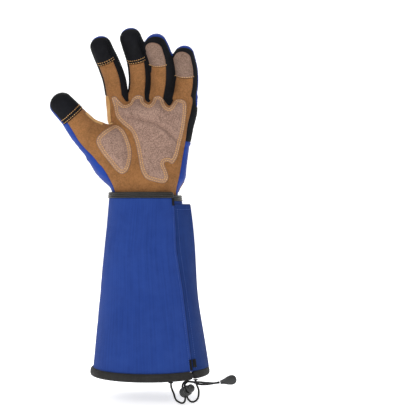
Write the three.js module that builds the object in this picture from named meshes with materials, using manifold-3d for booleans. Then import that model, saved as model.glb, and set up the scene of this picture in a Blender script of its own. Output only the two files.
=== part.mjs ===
// A left-hand rose pruning gauntlet, in the form that a hand and forearm give it. Millimetres, +Z up.
// The palm faces -Y, the fingers point up and the thumb is at -X.
// The origin is the middle of the cuff's lower rim, where the forearm goes in.

import * as THREE from "three";
import { mergeVertices } from "three/addons/utils/BufferGeometryUtils.js";
import Module from "manifold-3d";

const wasm = await Module();
wasm.setup();

const GAP = 0.3; // clearance between neighbouring pieces

// Cuff: an oval cone of cloth from the hem up to the wrist binding
const CUFF_HEIGHT = 203;
const RIM_WIDTH = 135;
const RIM_DEPTH = 108;
const TOP_WIDTH = 86;
const TOP_DEPTH = 66;
const CUFF_LEAN = -5.6; // the top's middle, sideways of the rim's
const CUFF_WALL = 2.2;
const TOP_STEP = 3.5; // the flap side's top edge sits this much lower

// Hem: the thick roll that holds the draw cord
const HEM_HEIGHT = 9.2;
const HEM_PROUD = 3;
const HEM_INSIDE = 1.2; // how far it reaches inwards past the cuff's wall
const HEM_DIP = 1; // front and back hang this much lower than the sides
const SLIT_WIDTH = 3;

// Flap beside the slit
const FLAP_THICKNESS = 2;
const FLAP_STANDOFF = 7.5; // its free edge stands off the cuff at the top
const FLAP_TOP_MARGIN = 7;
const FLAP_END_ANGLE = -5;
const TAPE_THICKNESS = 0.8;
const TAPE_WIDTH = 3.4;
const TAB_WIDTH = 6;
const TAB_HEIGHT = 9;

// Wrist binding
const BINDING_HEIGHT = 6.5;
const BINDING_PROUD = 1.4;
const BINDING_RIBS = 3;

// Hand
const HAND_LENGTH = 184; // wrist binding to the tip of the middle finger
const HAND_WIDTH = 104;
const HAND_DEPTH = 50;
const HAND_SHIFT = -0.4; // middle of the wrist, sideways of the cuff's top
const HAND_WALL = 2;
const WRIST_INSET = 5; // how far the hand's open end reaches down into the cuff
const GATHER_HEIGHT = 37; // the elastic's line above the wrist
const GATHER_REACH = 9; // height of the gathered band either side of that line
const GATHER_DEPTH = 2.8;

// Sewn-on patches
const PAD_THICKNESS = 2;
const PATCH_THICKNESS = 1.3;

// Draw cord, its lock and its end
const CORD_DIAMETER = 2.2;
const CORD_SPACING = 3; // between the two cords' centres in the lock
const EYELET_DIAMETER = 5.6;
const EYELET_HEIGHT = 1;
const LOCK_DIAMETER = 11.6;
const LOCK_LENGTH = 13;
const LOCK_RIBS = 4;
const RIB_DEPTH = 0.5;
const BUTTON_DIAMETER = 9.2;
const BUTTON_STEM_DIAMETER = 5;
const BUTTON_STEM_LENGTH = 3;
const CORD_END_LENGTH = 18.6;
const CORD_END_NECK = 4.4;
const CORD_END_WIDTH = 11;
const CORD_END_THICKNESS = 6;
const CORD_END_TILT = 12; // degrees, its far end up

const FINGER_SIDES = 10;
const INNER_FINGER_SIDES = 8;
const FINGER_STEPS = 5;
const CUTTER_STEPS = 3;
const PALM_SIDES = 20;
const INNER_PALM_SIDES = 14;
const CUFF_SIDES = 24;
const CORD_SIDES = 8;
const CORD_STEPS = 30;

const cloth = (color, roughness = 0.9) => new THREE.MeshStandardMaterial({ color, roughness, metalness: 0 });
const TAN_LEATHER = cloth(0xa5703c);
const PALE_LEATHER = cloth(0xc99a62);
const SUEDE = cloth(0x9a7f72, 0.95);
const BROWN_SUEDE = cloth(0xa07452, 0.95);
const BLUE_STRETCH = cloth(0x0b3aa0, 0.8);
const BLUE_CANVAS = cloth(0x26428c);
const BLACK_KNIT = cloth(0x15161a);
const GREY_BINDING = cloth(0x34322f, 0.7);
const BLACK_PLASTIC = cloth(0x222224, 0.45);

// Finger tables. Each row is a point of the finger's centre line and the section there:
// across and up are shares of HAND_WIDTH and HAND_LENGTH from the wrist's middle, fore is a share
// of HAND_DEPTH towards the palm, and wide and deep are shares of the finger's own thickness.
// palmar and dorsal are the angles, from the front towards +X, where the side walls begin and end.
const FINGERS = {
  index: {
    thickness: 26,
    rows: [
      { across: -0.3, up: 0.476, fore: -0.04, wide: 1.0, deep: 1.0 },
      { across: -0.318, up: 0.587, fore: 0.0, wide: 1.02, deep: 0.98 },
      { across: -0.349, up: 0.709, fore: 0.12, wide: 1.03, deep: 0.96 },
      { across: -0.407, up: 0.8, fore: 0.27, wide: 1.0, deep: 0.94 },
      { across: -0.463, up: 0.868, fore: 0.42, wide: 0.96, deep: 0.9 },
      { across: -0.52, up: 0.944, fore: 0.66, wide: 0.9, deep: 0.84 },
    ],
    palmar: [-64, 27],
    dorsal: [98, 240],
    cap: 0.66,
    capEnd: 1,
  },
  middle: {
    thickness: 25.6,
    rows: [
      { across: -0.092, up: 0.502, fore: -0.06, wide: 1.0, deep: 1.0 },
      { across: -0.086, up: 0.59, fore: -0.02, wide: 1.0, deep: 0.98 },
      { across: -0.069, up: 0.712, fore: 0.08, wide: 1.0, deep: 0.96 },
      { across: -0.088, up: 0.818, fore: 0.24, wide: 0.99, deep: 0.95 },
      { across: -0.138, up: 0.908, fore: 0.44, wide: 0.98, deep: 0.92 },
      { across: -0.203, up: 1.0, fore: 0.72, wide: 0.92, deep: 0.86 },
    ],
    palmar: [-62, 32],
    dorsal: [95, 245],
    cap: 0.62,
    capEnd: 1,
  },
  ring: {
    thickness: 27,
    rows: [
      { across: 0.125, up: 0.484, fore: -0.06, wide: 1.0, deep: 1.0 },
      { across: 0.148, up: 0.565, fore: -0.02, wide: 1.0, deep: 0.98 },
      { across: 0.186, up: 0.7, fore: 0.1, wide: 1.0, deep: 0.96 },
      { across: 0.176, up: 0.812, fore: 0.3, wide: 0.99, deep: 0.95 },
      { across: 0.131, up: 0.885, fore: 0.48, wide: 0.97, deep: 0.92 },
      { across: 0.066, up: 0.95, fore: 0.72, wide: 0.9, deep: 0.86 },
    ],
    palmar: [-76, 14],
    dorsal: [62, 238],
    cap: 0.6,
    capEnd: 0.94,
  },
  little: {
    thickness: 26,
    rows: [
      { across: 0.345, up: 0.44, fore: -0.02, wide: 1.0, deep: 1.0 },
      { across: 0.4, up: 0.54, fore: 0.0, wide: 1.02, deep: 1.0 },
      { across: 0.452, up: 0.676, fore: 0.1, wide: 1.0, deep: 0.98 },
      { across: 0.45, up: 0.766, fore: 0.24, wide: 0.97, deep: 0.95 },
      { across: 0.426, up: 0.828, fore: 0.38, wide: 0.93, deep: 0.9 },
      { across: 0.396, up: 0.888, fore: 0.56, wide: 0.86, deep: 0.84 },
    ],
    palmar: [-76, 30],
    dorsal: [74, 238],
    cap: 0.54,
    capEnd: 0.93,
  },
  thumb: {
    thickness: 28,
    rows: [
      { across: -0.15, up: 0.11, fore: 0.04, wide: 1.0, deep: 1.2 },
      { across: -0.345, up: 0.17, fore: 0.12, wide: 1.5, deep: 1.5 },
      { across: -0.465, up: 0.293, fore: 0.26, wide: 1.78, deep: 1.35 },
      { across: -0.66, up: 0.384, fore: 0.38, wide: 1.25, deep: 1.1 },
      { across: -0.798, up: 0.475, fore: 0.46, wide: 1.04, deep: 0.96 },
      { across: -1.01, up: 0.602, fore: 0.6, wide: 0.9, deep: 0.84 },
    ],
    palmar: [-60, 98],
    dorsal: [98, 300],
    cap: 0.79,
    capEnd: 1,
  },
};

// Palm sections from the wrist's open end to the finger roots: left, right, fore and aft are the
// distances from the wrist's middle line, as shares of HAND_WIDTH and HAND_DEPTH, and square is
// the power that makes the section fuller than an ellipse, for which it is 1.
const PALM_ROWS = [
  { up: -0.02, left: 0.37, right: 0.35, fore: 0.54, aft: 0.57, square: 1.0 },
  { up: 0.035, left: 0.385, right: 0.372, fore: 0.54, aft: 0.57, square: 1.0 },
  { up: 0.09, left: 0.43, right: 0.43, fore: 0.57, aft: 0.54, square: 0.93 },
  { up: 0.15, left: 0.43, right: 0.447, fore: 0.53, aft: 0.5, square: 0.88 },
  { up: 0.2, left: 0.4, right: 0.458, fore: 0.5, aft: 0.46, square: 0.86 },
  { up: 0.25, left: 0.39, right: 0.468, fore: 0.48, aft: 0.45, square: 0.86 },
  { up: 0.4, left: 0.4, right: 0.51, fore: 0.43, aft: 0.44, square: 0.86 },
  { up: 0.53, left: 0.41, right: 0.56, fore: 0.39, aft: 0.41, square: 0.86 },
  { up: 0.6, left: 0.39, right: 0.555, fore: 0.18, aft: 0.18, square: 0.86 },
];

// Flat outlines, as [across, up] shares of HAND_WIDTH and HAND_LENGTH from the wrist's middle
const PALM_LEATHER = [
  [0.36, -0.06], [0.335, 0.003], [0.376, 0.127], [0.405, 0.223], [0.438, 0.325], [0.462, 0.431],
  [0.499, 0.518], [0.51, 0.599], [0.4, 0.62], [0.318, 0.6], [0.255, 0.545], [0.175, 0.597],
  [0.08, 0.605], [0.025, 0.568], [-0.043, 0.609], [-0.153, 0.618], [-0.208, 0.572],
  [-0.29, 0.626], [-0.415, 0.62], [-0.6, 0.5], [-0.64, 0.329], [-0.595, 0.25],
  [-0.5, 0.18], [-0.424, 0.11], [-0.35, 0.006], [-0.37, -0.06],
];
const PALM_PAD = [
  [-0.374, 0.597], [-0.336, 0.603], [-0.285, 0.572], [-0.23, 0.546], [-0.176, 0.559],
  [-0.146, 0.594], [-0.085, 0.613], [-0.031, 0.599], [-0.016, 0.564], [0.03, 0.547],
  [0.068, 0.569], [0.087, 0.599], [0.145, 0.608], [0.191, 0.586], [0.206, 0.552], [0.245, 0.53],
  [0.283, 0.552], [0.322, 0.58], [0.383, 0.587], [0.434, 0.57], [0.44, 0.518], [0.414, 0.396],
  [0.375, 0.309], [0.335, 0.22], [0.283, 0.181], [0.235, 0.194], [0.198, 0.185], [0.229, 0.135],
  [0.24, 0.092], [0.199, 0.064], [0.099, 0.07], [-0.008, 0.092], [-0.054, 0.135],
  [-0.085, 0.222], [-0.115, 0.308], [-0.161, 0.377], [-0.252, 0.425], [-0.321, 0.472],
  [-0.347, 0.532],
];
const THENAR_PAD = [
  [-0.41, 0.4], [-0.327, 0.421], [-0.251, 0.396], [-0.19, 0.332], [-0.157, 0.263],
  [-0.167, 0.185], [-0.205, 0.133], [-0.259, 0.118], [-0.312, 0.133], [-0.403, 0.193],
  [-0.493, 0.262], [-0.536, 0.313], [-0.516, 0.348],
];
const CROTCH_LEATHER = [
  [-0.345, 0.595], [-0.35, 0.5], [-0.362, 0.43], [-0.39, 0.37], [-0.45, 0.325], [-0.56, 0.315],
  [-0.62, 0.42], [-0.58, 0.595],
];
const BACK_STRETCH = [
  [0.62, -0.06], [0.62, 0.5], [0.46, 0.6], [0.36, 0.6], [0.255, 0.53], [0.175, 0.597],
  [0.08, 0.605], [0.025, 0.56], [-0.043, 0.609], [-0.153, 0.618], [-0.208, 0.565],
  [-0.29, 0.626], [-0.36, 0.62], [-0.7, 0.5], [-0.8, 0.3], [-0.7, -0.06],
];
const KNUCKLE_PATCH = [
  [0.452, 0.34], [0.5, 0.46], [0.535, 0.56], [0.505, 0.6], [0.35, 0.59], [0.325, 0.53],
  [0.275, 0.49], [0.235, 0.5], [0.215, 0.55], [0.195, 0.62], [0.085, 0.628], [0.055, 0.56],
  [0.02, 0.515], [-0.02, 0.53], [-0.035, 0.58], [-0.055, 0.635], [-0.165, 0.638], [-0.185, 0.57],
  [-0.215, 0.53], [-0.255, 0.54], [-0.265, 0.6], [-0.285, 0.635], [-0.395, 0.63],
  [-0.38, 0.56], [-0.27, 0.355],
];
const WRIST_TAB = [
  [0.37, 0.012], [0.42, 0.1], [0.4, 0.12], [0.1, 0.128], [0.04, 0.118], [-0.03, 0.085], [-0.14, 0.012],
];

const degrees = THREE.MathUtils.degToRad;
const blend = THREE.MathUtils.lerp;
const ease = THREE.MathUtils.smoothstep;
const AFT = new THREE.Vector3(0, 1, 0);
const WRIST_X = CUFF_LEAN + HAND_SHIFT;
const WRIST_Z = CUFF_HEIGHT + GAP + 4.7;
const across = (share) => WRIST_X + share * HAND_WIDTH;
const upward = (share) => WRIST_Z + share * HAND_LENGTH;

// A closed surface through rings of equal length. A looped one joins its last ring to its first;
// any other closes each end with a ladder of faces, or its far end with a single tip point.
function sweep(rings, { looped = false, tip = null } = {}) {
  const count = rings[0].length;
  const points = rings.flat();
  const faces = [];
  const steps = looped ? rings.length : rings.length - 1;
  for (let r = 0; r < steps; r++) {
    const here = r * count;
    const next = ((r + 1) % rings.length) * count;
    for (let i = 0; i < count; i++) {
      const j = (i + 1) % count;
      faces.push(here + i, here + j, next + j, here + i, next + j, next + i);
    }
  }
  const ladder = (start, turned) => {
    for (let low = 0, high = count - 1; low + 1 < high; low++, high--) {
      const rungs = [[low, high, low + 1]];
      if (low + 1 < high - 1) rungs.push([low + 1, high, high - 1]);
      for (const [a, b, c] of rungs) {
        faces.push(...(turned ? [a, c, b] : [a, b, c]).map((k) => start + k));
      }
    }
  };
  const end = (rings.length - 1) * count;
  if (!looped) ladder(0, false);
  if (!looped && !tip) ladder(end, true);
  if (tip) {
    for (let i = 0; i < count; i++) faces.push(end + i, end + ((i + 1) % count), points.length);
    points.push(tip);
  }
  const geometry = new THREE.BufferGeometry().setFromPoints(points);
  geometry.setIndex(faces);
  return geometry;
}

// A manifold solid from a closed geometry, turned to face outwards.
function solid(geometry) {
  const shape = geometry.clone();
  shape.deleteAttribute("normal");
  shape.deleteAttribute("uv");
  const merged = mergeVertices(shape, 1e-4);
  const vertProperties = new Float32Array(merged.attributes.position.array);
  const triVerts = new Uint32Array(merged.index.array);
  const made = new wasm.Manifold(new wasm.Mesh({ numProp: 3, vertProperties, triVerts }));
  if (made.volume() > 0) return made;
  for (let i = 0; i < triVerts.length; i += 3) {
    [triVerts[i + 1], triVerts[i + 2]] = [triVerts[i + 2], triVerts[i + 1]];
  }
  return new wasm.Manifold(new wasm.Mesh({ numProp: 3, vertProperties, triVerts }));
}

const joined = (solids) => solids.reduce((all, one) => all.add(one));
const bySize = (shape) => shape.decompose().sort((a, b) => b.volume() - a.volume());
const largest = (shape) => bySize(shape)[0];

// The hand's centre lines and sections

function fingerCurve(finger) {
  const points = finger.rows.map(
    (row) => new THREE.Vector3(across(row.across), -row.fore * HAND_DEPTH, upward(row.up)),
  );
  return new THREE.CatmullRomCurve3(points);
}

function rowValue(finger, t, key) {
  const place = THREE.MathUtils.clamp(t, 0, 1) * (finger.rows.length - 1);
  const low = Math.min(Math.floor(place), finger.rows.length - 2);
  return blend(finger.rows[low][key], finger.rows[low + 1][key], place - low);
}

// The centre, side direction, front direction and half sizes of a finger at share t of its length.
function fingerStation(finger, t) {
  const curve = fingerCurve(finger);
  const along = curve.getTangent(t);
  const side = new THREE.Vector3().crossVectors(AFT, along).normalize();
  const front = new THREE.Vector3().crossVectors(side, along).normalize();
  return {
    centre: curve.getPoint(t),
    along,
    side,
    front,
    halfWide: (rowValue(finger, t, "wide") * finger.thickness) / 2,
    halfDeep: (rowValue(finger, t, "deep") * finger.thickness) / 2,
  };
}

function aroundFinger(station, angle, halfWide, halfDeep) {
  const a = degrees(angle);
  return station.centre
    .clone()
    .addScaledVector(station.side, halfWide * Math.sin(a))
    .addScaledVector(station.front, halfDeep * Math.cos(a));
}

// One finger as a closed form, its surface moved outwards by grow, with a domed tip.
function fingerForm(finger, grow) {
  const length = fingerCurve(finger).getLength();
  const sides = grow < 0 ? INNER_FINGER_SIDES : FINGER_SIDES;
  const domeStart = 1 - (0.46 * finger.thickness * rowValue(finger, 1, "wide")) / length;
  const ringAt = (t, squeeze) => {
    const s = fingerStation(finger, t);
    const wide = (s.halfWide + grow) * squeeze;
    const deep = (s.halfDeep + grow) * squeeze;
    return Array.from({ length: sides }, (_, i) =>
      aroundFinger(s, (360 * (i + 0.5)) / sides, wide, deep),
    );
  };
  const rings = [];
  for (let i = 0; i <= FINGER_STEPS; i++) rings.push(ringAt((domeStart * i) / FINGER_STEPS, 1));
  for (const turn of [32, 62]) {
    const t = blend(domeStart, 1, Math.sin(degrees(turn)));
    rings.push(ringAt(t, Math.cos(degrees(turn))));
  }
  const end = fingerStation(finger, 1);
  return solid(sweep(rings, { tip: end.centre.addScaledVector(end.along, grow) }));
}

// The palm as a closed form. Its back is drawn in along the wrist elastic.
function palmForm(grow) {
  const sides = grow < 0 ? INNER_PALM_SIDES : PALM_SIDES;
  const angles = Array.from({ length: sides }, (_, i) => (360 * i) / sides);
  const bottom = grow < 0 ? -2 * WRIST_INSET : -WRIST_INSET;
  const rows = [{ ...PALM_ROWS[0], up: bottom / HAND_LENGTH }, ...PALM_ROWS.slice(1)];
  const rings = rows.map((row, r) => {
    const height = row.up * HAND_LENGTH;
    const gathered = 1 - ease(Math.abs(height - GATHER_HEIGHT), 0, GATHER_REACH);
    const isTop = r === rows.length - 1;
    const z = WRIST_Z + height + (isTop ? grow : 0);
    return angles.map((angle) => {
      const a = degrees(angle);
      const isBack = Math.sin(a) > 0;
      const drawnIn = isBack ? gathered * Math.sin(a) * GATHER_DEPTH : 0;
      const halfX = (Math.cos(a) > 0 ? row.right : row.left) * HAND_WIDTH + grow;
      const halfY = (isBack ? row.aft : row.fore) * HAND_DEPTH + grow - drawnIn;
      const x = WRIST_X + halfX * Math.sign(Math.cos(a)) * Math.abs(Math.cos(a)) ** row.square;
      const y = halfY * Math.sign(Math.sin(a)) * Math.abs(Math.sin(a)) ** row.square;
      return new THREE.Vector3(x, y, z);
    });
  });
  return solid(sweep(rings));
}

function handForm(grow) {
  return joined([palmForm(grow), ...Object.values(FINGERS).map((f) => fingerForm(f, grow))]);
}

const layer = (inside, outside) => handForm(outside).subtract(handForm(inside));

// Cutters: the part of space that each panel is cut from, made larger by margin

const HALF_TURN = 180; // in degrees
const SKIN_REACH = 1.12; // a cutter's size for the skin, as a share of the finger's own
const PATCH_REACH = 1.4; // the same for a patch, which lies further out

// The space between two angles of a finger, from share start to share end of its length.
function sector(finger, [from, to], start, end, margin, reach = SKIN_REACH) {
  const length = fingerCurve(finger).getLength();
  const middle = (from + to) / 2;
  const back = margin / Math.max(0.3, Math.sin(degrees(Math.min(90, (to - from) / 2))));
  const arcSteps = Math.ceil((to - from) / 30);
  const rings = [];
  const first = start - margin / length;
  const last = end + (margin + (end >= 1 ? 4 : 0)) / length;
  for (let i = 0; i <= CUTTER_STEPS; i++) {
    const t = blend(first, last, i / CUTTER_STEPS);
    const station = fingerStation(finger, THREE.MathUtils.clamp(t, 0, 1));
    const beyond = (t - THREE.MathUtils.clamp(t, 0, 1)) * length;
    station.centre.addScaledVector(station.along, beyond);
    const wide = station.halfWide * reach + margin;
    const deep = station.halfDeep * reach + margin;
    const shift = aroundFinger(station, middle + HALF_TURN, back, back).sub(station.centre);
    const ring = [station.centre.clone().add(shift)];
    for (let k = 0; k <= arcSteps; k++) {
      const angle = blend(from, to, k / arcSteps);
      ring.push(aroundFinger(station, angle, wide + back, deep + back).add(shift));
    }
    if (ring.length % 2) ring.splice(1, 0, ring[0].clone().lerp(ring[1], 0.5));
    rings.push(ring);
  }
  return solid(sweep(rings));
}

// An outline given in shares of the hand, moved outwards by margin, as points in mm.
function outlinePoints(outline, margin, smooth) {
  let points = outline.map(([x, z]) => new THREE.Vector3(across(x), upward(z), 0));
  if (smooth) {
    const curve = new THREE.CatmullRomCurve3(points, true, "centripetal");
    points = curve.getPoints(smooth).slice(0, -1);
  }
  const area = THREE.ShapeUtils.area(points);
  const count = points.length;
  return points.map((point, i) => {
    const along = points[(i + 1) % count].clone().sub(points[(i + count - 1) % count]).normalize();
    const out = new THREE.Vector2(along.y, -along.x).multiplyScalar(area > 0 ? margin : -margin);
    return new THREE.Vector2(point.x + out.x, point.y + out.y);
  });
}

// A straight prism along Y over an outline.
function prism(outline, nearY, farY, margin = 0, smooth = 0) {
  const shape = new THREE.Shape(outlinePoints(outline, margin, smooth));
  const depth = farY - nearY + 2 * margin;
  const geometry = new THREE.ExtrudeGeometry(shape, { depth, bevelEnabled: false });
  geometry.rotateX(Math.PI / 2).translate(0, farY + margin, 0);
  return solid(geometry);
}

function block([x0, x1], [y0, y1], [z0, z1], margin) {
  const size = [x1 - x0, y1 - y0, z1 - z0].map((d) => d + 2 * margin);
  const geometry = new THREE.BoxGeometry(...size);
  return solid(geometry.translate((x0 + x1) / 2, (y0 + y1) / 2, (z0 + z1) / 2));
}

const BASE = 0.2; // share of a finger's length where its palm and back strips begin
const FAR = 80; // past the surface of every panel
const SIDE_SEAM_Y = 3; // the palm and back panels part here on the hand's edges
const GUSSET_FRONT_Y = -9.5; // the gusset reaches this far round to the palm
const BLACK_EDGE_UP = 0.325; // the black outer strip ends here on the little finger's side

// Angles and shares of a finger's length, as in the finger tables
const THUMB_GUSSET = [
  { angles: [58, 185], from: 0.52, to: 0.75 },
  { angles: [96, 178], from: 0.4, to: 0.53 },
];
const BACK_STRIPS = [
  { name: "index_patch", finger: "index", angles: [140, 232], from: 0.4, to: 0.74 },
  { name: "middle_strip", finger: "middle", angles: [136, 212], from: 0.4, to: 0.93 },
  { name: "ring_strip", finger: "ring", angles: [125, 200], from: 0.4, to: 0.93 },
  { name: "little_strip", finger: "little", angles: [130, 205], from: 0.4, to: 0.92 },
];

const palmCutter = (margin) =>
  joined([
    prism(PALM_LEATHER, -FAR, -GAP, margin),
    ...Object.values(FINGERS).map((f) => sector(f, f.palmar, BASE, f.capEnd, margin)),
  ]);

const backCutter = (margin) =>
  joined([
    prism(BACK_STRETCH, SIDE_SEAM_Y, FAR, margin),
    block([-2 * FAR, FAR], [-FAR, FAR], [upward(-0.1), upward(BLACK_EDGE_UP)], margin),
    block([-2 * FAR, 0], [-FAR, FAR], [upward(-0.1), upward(0.6)], margin),
    ...Object.entries(FINGERS).map(([name, f]) =>
      sector(f, f.dorsal, name === "thumb" ? 0.08 : BASE, 1, margin),
    ),
  ]);

const thumbGussetCutter = (margin) =>
  joined(THUMB_GUSSET.map(({ angles, from, to }) => sector(FINGERS.thumb, angles, from, to, margin)));

const palmGussetCutter = (margin) => prism(CROTCH_LEATHER, GUSSET_FRONT_Y, FAR, margin);

// Pieces of the hand

const group = new THREE.Group();

function addMesh(name, geometry, material) {
  const mesh = new THREE.Mesh(geometry, material);
  mesh.name = name;
  group.add(mesh);
  return mesh;
}

function addSolid(name, shape, material) {
  const made = shape.getMesh();
  const geometry = new THREE.BufferGeometry();
  geometry.setAttribute("position", new THREE.BufferAttribute(made.vertProperties, 3));
  geometry.setIndex(new THREE.BufferAttribute(made.triVerts, 1));
  return addMesh(name, geometry, material);
}

function addHandPanels() {
  let rest = layer(-HAND_WALL, 0);
  const take = (name, cutter, material) => {
    addSolid(name, largest(rest.intersect(cutter(0))), material);
    rest = rest.subtract(cutter(GAP));
  };
  take("thumb_gusset", thumbGussetCutter, PALE_LEATHER);
  take("palm_gusset", palmGussetCutter, PALE_LEATHER);
  for (const [name, f] of Object.entries(FINGERS)) {
    const leathery = name === "ring" || name === "little";
    const cut = (margin) => sector(f, f.palmar, f.cap, f.capEnd, margin);
    take(name + "_tip", cut, leathery ? SUEDE : BLACK_KNIT);
  }
  take("palm_leather", palmCutter, TAN_LEATHER);
  take("back_stretch", backCutter, BLUE_STRETCH);
  const names = ["index_outer_side", "index_middle_side", "middle_ring_side", "ring_little_side"];
  const strips = bySize(rest).slice(0, names.length);
  const middleX = (s) => (s.boundingBox().min[0] + s.boundingBox().max[0]) / 2;
  strips.sort((a, b) => middleX(a) - middleX(b));
  names.forEach((name, i) => addSolid(name, strips[i], BLACK_KNIT));
}

function addPatches() {
  const padLayer = layer(GAP, GAP + PAD_THICKNESS);
  const patchLayer = layer(GAP, GAP + PATCH_THICKNESS);
  const pad = (outline) => largest(padLayer.intersect(prism(outline, -FAR, -2)));
  addSolid("palm_pad", pad(PALM_PAD), SUEDE);
  addSolid("thenar_pad", pad(THENAR_PAD), SUEDE);
  const backPatch = (cutter) => largest(patchLayer.intersect(cutter));
  addSolid("knuckle_patch", backPatch(prism(KNUCKLE_PATCH, 2, FAR)), BROWN_SUEDE);
  addSolid("wrist_tab", backPatch(prism(WRIST_TAB, 2, FAR)), BROWN_SUEDE);
  for (const { name, finger, angles, from, to } of BACK_STRIPS) {
    const cutter = sector(FINGERS[finger], angles, from, to, 0, PATCH_REACH);
    addSolid(name, backPatch(cutter), finger === "index" ? BLACK_KNIT : BROWN_SUEDE);
  }
}

// The cuff. Places on it are a turn share, from the slit's edge round the front, the thumb's side
// and the back to the slit again, and a height.

const SLIT_ROWS = [
  { up: 0, angle: -46 },
  { up: 0.25, angle: -46.5 },
  { up: 0.5, angle: -47.5 },
  { up: 0.72, angle: -50 },
  { up: 1, angle: -44 },
];
const RECESS = FLAP_THICKNESS + GAP;

function slitAngle(height) {
  const up = THREE.MathUtils.clamp(height / CUFF_HEIGHT, 0, 1);
  const next = Math.max(1, SLIT_ROWS.findIndex((row) => row.up >= up));
  const [low, high] = [SLIT_ROWS[next - 1], SLIT_ROWS[next]];
  return blend(low.angle, high.angle, (up - low.up) / (high.up - low.up));
}

const turnAngle = (turn, height) => slitAngle(height) - 360 * turn;
const recess = (turn) => RECESS * ease(turn, 0.66, 0.77);
const edgeDrop = (turn) => TOP_STEP * ease(turn, 0.45, 0.8);

// A point of the cuff's outer surface at an angle and height, moved outwards by outset.
function cuffPoint(angle, height, outset) {
  const up = height / CUFF_HEIGHT;
  const a = degrees(angle);
  const halfX = blend(RIM_WIDTH, TOP_WIDTH, up) / 2 + outset;
  const halfY = blend(RIM_DEPTH, TOP_DEPTH, up) / 2 + outset;
  return new THREE.Vector3(CUFF_LEAN * up + halfX * Math.cos(a), halfY * Math.sin(a), height);
}

function addCuffBody() {
  const foot = HEM_HEIGHT + GAP;
  const sections = [];
  for (let i = 0; i <= CUFF_SIDES; i++) {
    const turn = i / CUFF_SIDES;
    const top = CUFF_HEIGHT - edgeDrop(turn);
    const heights = [0, 0.25, 0.5, 0.75, 1].map((share) => blend(foot, top, share));
    const at = (height, outset) => cuffPoint(turnAngle(turn, height), height, outset - recess(turn));
    const outer = heights.map((height) => at(height, 0));
    const inner = heights.map((height) => at(height, -CUFF_WALL));
    sections.push([...outer, ...inner.reverse()]);
  }
  addMesh("cuff_body", faceOut(sweep(sections, { looped: true })), BLUE_CANVAS);
}

// The same geometry with its faces pointing outwards.
function faceOut(geometry) {
  const p = geometry.attributes.position;
  const index = geometry.index.array;
  const corner = (i) => new THREE.Vector3().fromBufferAttribute(p, index[i]);
  let volume = 0;
  for (let i = 0; i < index.length; i += 3) {
    volume += corner(i).dot(corner(i + 1).cross(corner(i + 2)));
  }
  if (volume < 0) index.reverse();
  return geometry;
}

// A C-shaped band round the cuff, from one side of the slit to the other: profile gives its
// section as [outset, height] pairs, and drop how far it is lowered at a turn.
function bandRound(profile, drop, slitWidth) {
  const sections = [];
  const slitTurn = slitWidth / (Math.PI * RIM_WIDTH);
  const steps = CUFF_SIDES;
  for (let i = 0; i <= steps; i++) {
    const turn = blend(slitTurn / 2, 1 - slitTurn / 2, i / steps);
    const section = profile.map(([outset, height]) => {
      const angle = turnAngle(turn, height);
      const point = cuffPoint(angle, height, outset - recess(turn));
      point.z -= drop(turn, angle);
      return point;
    });
    sections.push(section);
  }
  return faceOut(sweep(sections));
}

function addHem() {
  const inside = -CUFF_WALL - HEM_INSIDE;
  const middle = (HEM_PROUD + inside) / 2;
  const profile = [
    [inside, HEM_HEIGHT * 0.25], [middle - 1.6, 0], [middle + 1.6, 0], [HEM_PROUD, HEM_HEIGHT * 0.25],
    [HEM_PROUD, HEM_HEIGHT * 0.72], [1, HEM_HEIGHT], [-CUFF_WALL, HEM_HEIGHT], [inside, HEM_HEIGHT * 0.72],
  ];
  const dip = (turn, angle) => HEM_DIP * Math.abs(Math.sin(degrees(angle)));
  addMesh("cuff_hem", bandRound(profile, dip, SLIT_WIDTH), GREY_BINDING);
}

function addBinding() {
  const foot = CUFF_HEIGHT + GAP;
  const inside = -CUFF_WALL;
  const ribs = 2 * BINDING_RIBS;
  const outer = Array.from({ length: ribs + 1 }, (_, i) => [
    BINDING_PROUD - (i % 2 ? 0 : 0.7),
    foot + (BINDING_HEIGHT * i) / ribs,
  ]);
  const inner = [1, 0.5].map((share) => [inside, foot + share * BINDING_HEIGHT]);
  const profile = [[inside, foot], ...outer, ...inner];
  addMesh("wrist_binding", bandRound(profile, edgeDrop, 1.2), GREY_BINDING);
}

function addFlap() {
  const foot = HEM_HEIGHT + GAP;
  const top = CUFF_HEIGHT - FLAP_TOP_MARGIN;
  const acrossSteps = 5;
  const levels = 8;
  const sections = [];
  for (let k = 0; k <= levels; k++) {
    const height = blend(foot, top, k / levels);
    const lift = FLAP_STANDOFF * ease(height / CUFF_HEIGHT, 0.35, 1);
    const start = slitAngle(height) + 1;
    const path = (outset) =>
      Array.from({ length: acrossSteps + 1 }, (_, i) => {
        const share = i / acrossSteps;
        return cuffPoint(blend(start, FLAP_END_ANGLE, share), height, outset + lift * share * share);
      });
    sections.push([...path(0), ...path(-FLAP_THICKNESS).reverse()]);
  }
  addMesh("cuff_flap", faceOut(sweep(sections)), BLUE_CANVAS);
}

// A small strip of tape lying on the cuff between two angles and two heights.
function addTape(name, [fromAngle, toAngle], [low, high], outset, thickness) {
  const levels = [low, (low + high) / 2, high];
  const sections = levels.map((height) => {
    const path = (out) =>
      [0, 0.5, 1].map((s) => cuffPoint(slitAngle(height) + blend(fromAngle, toAngle, s), height, out));
    return [...path(outset + thickness), ...path(outset).reverse()];
  });
  addMesh(name, faceOut(sweep(sections)), BLACK_KNIT);
}

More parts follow.
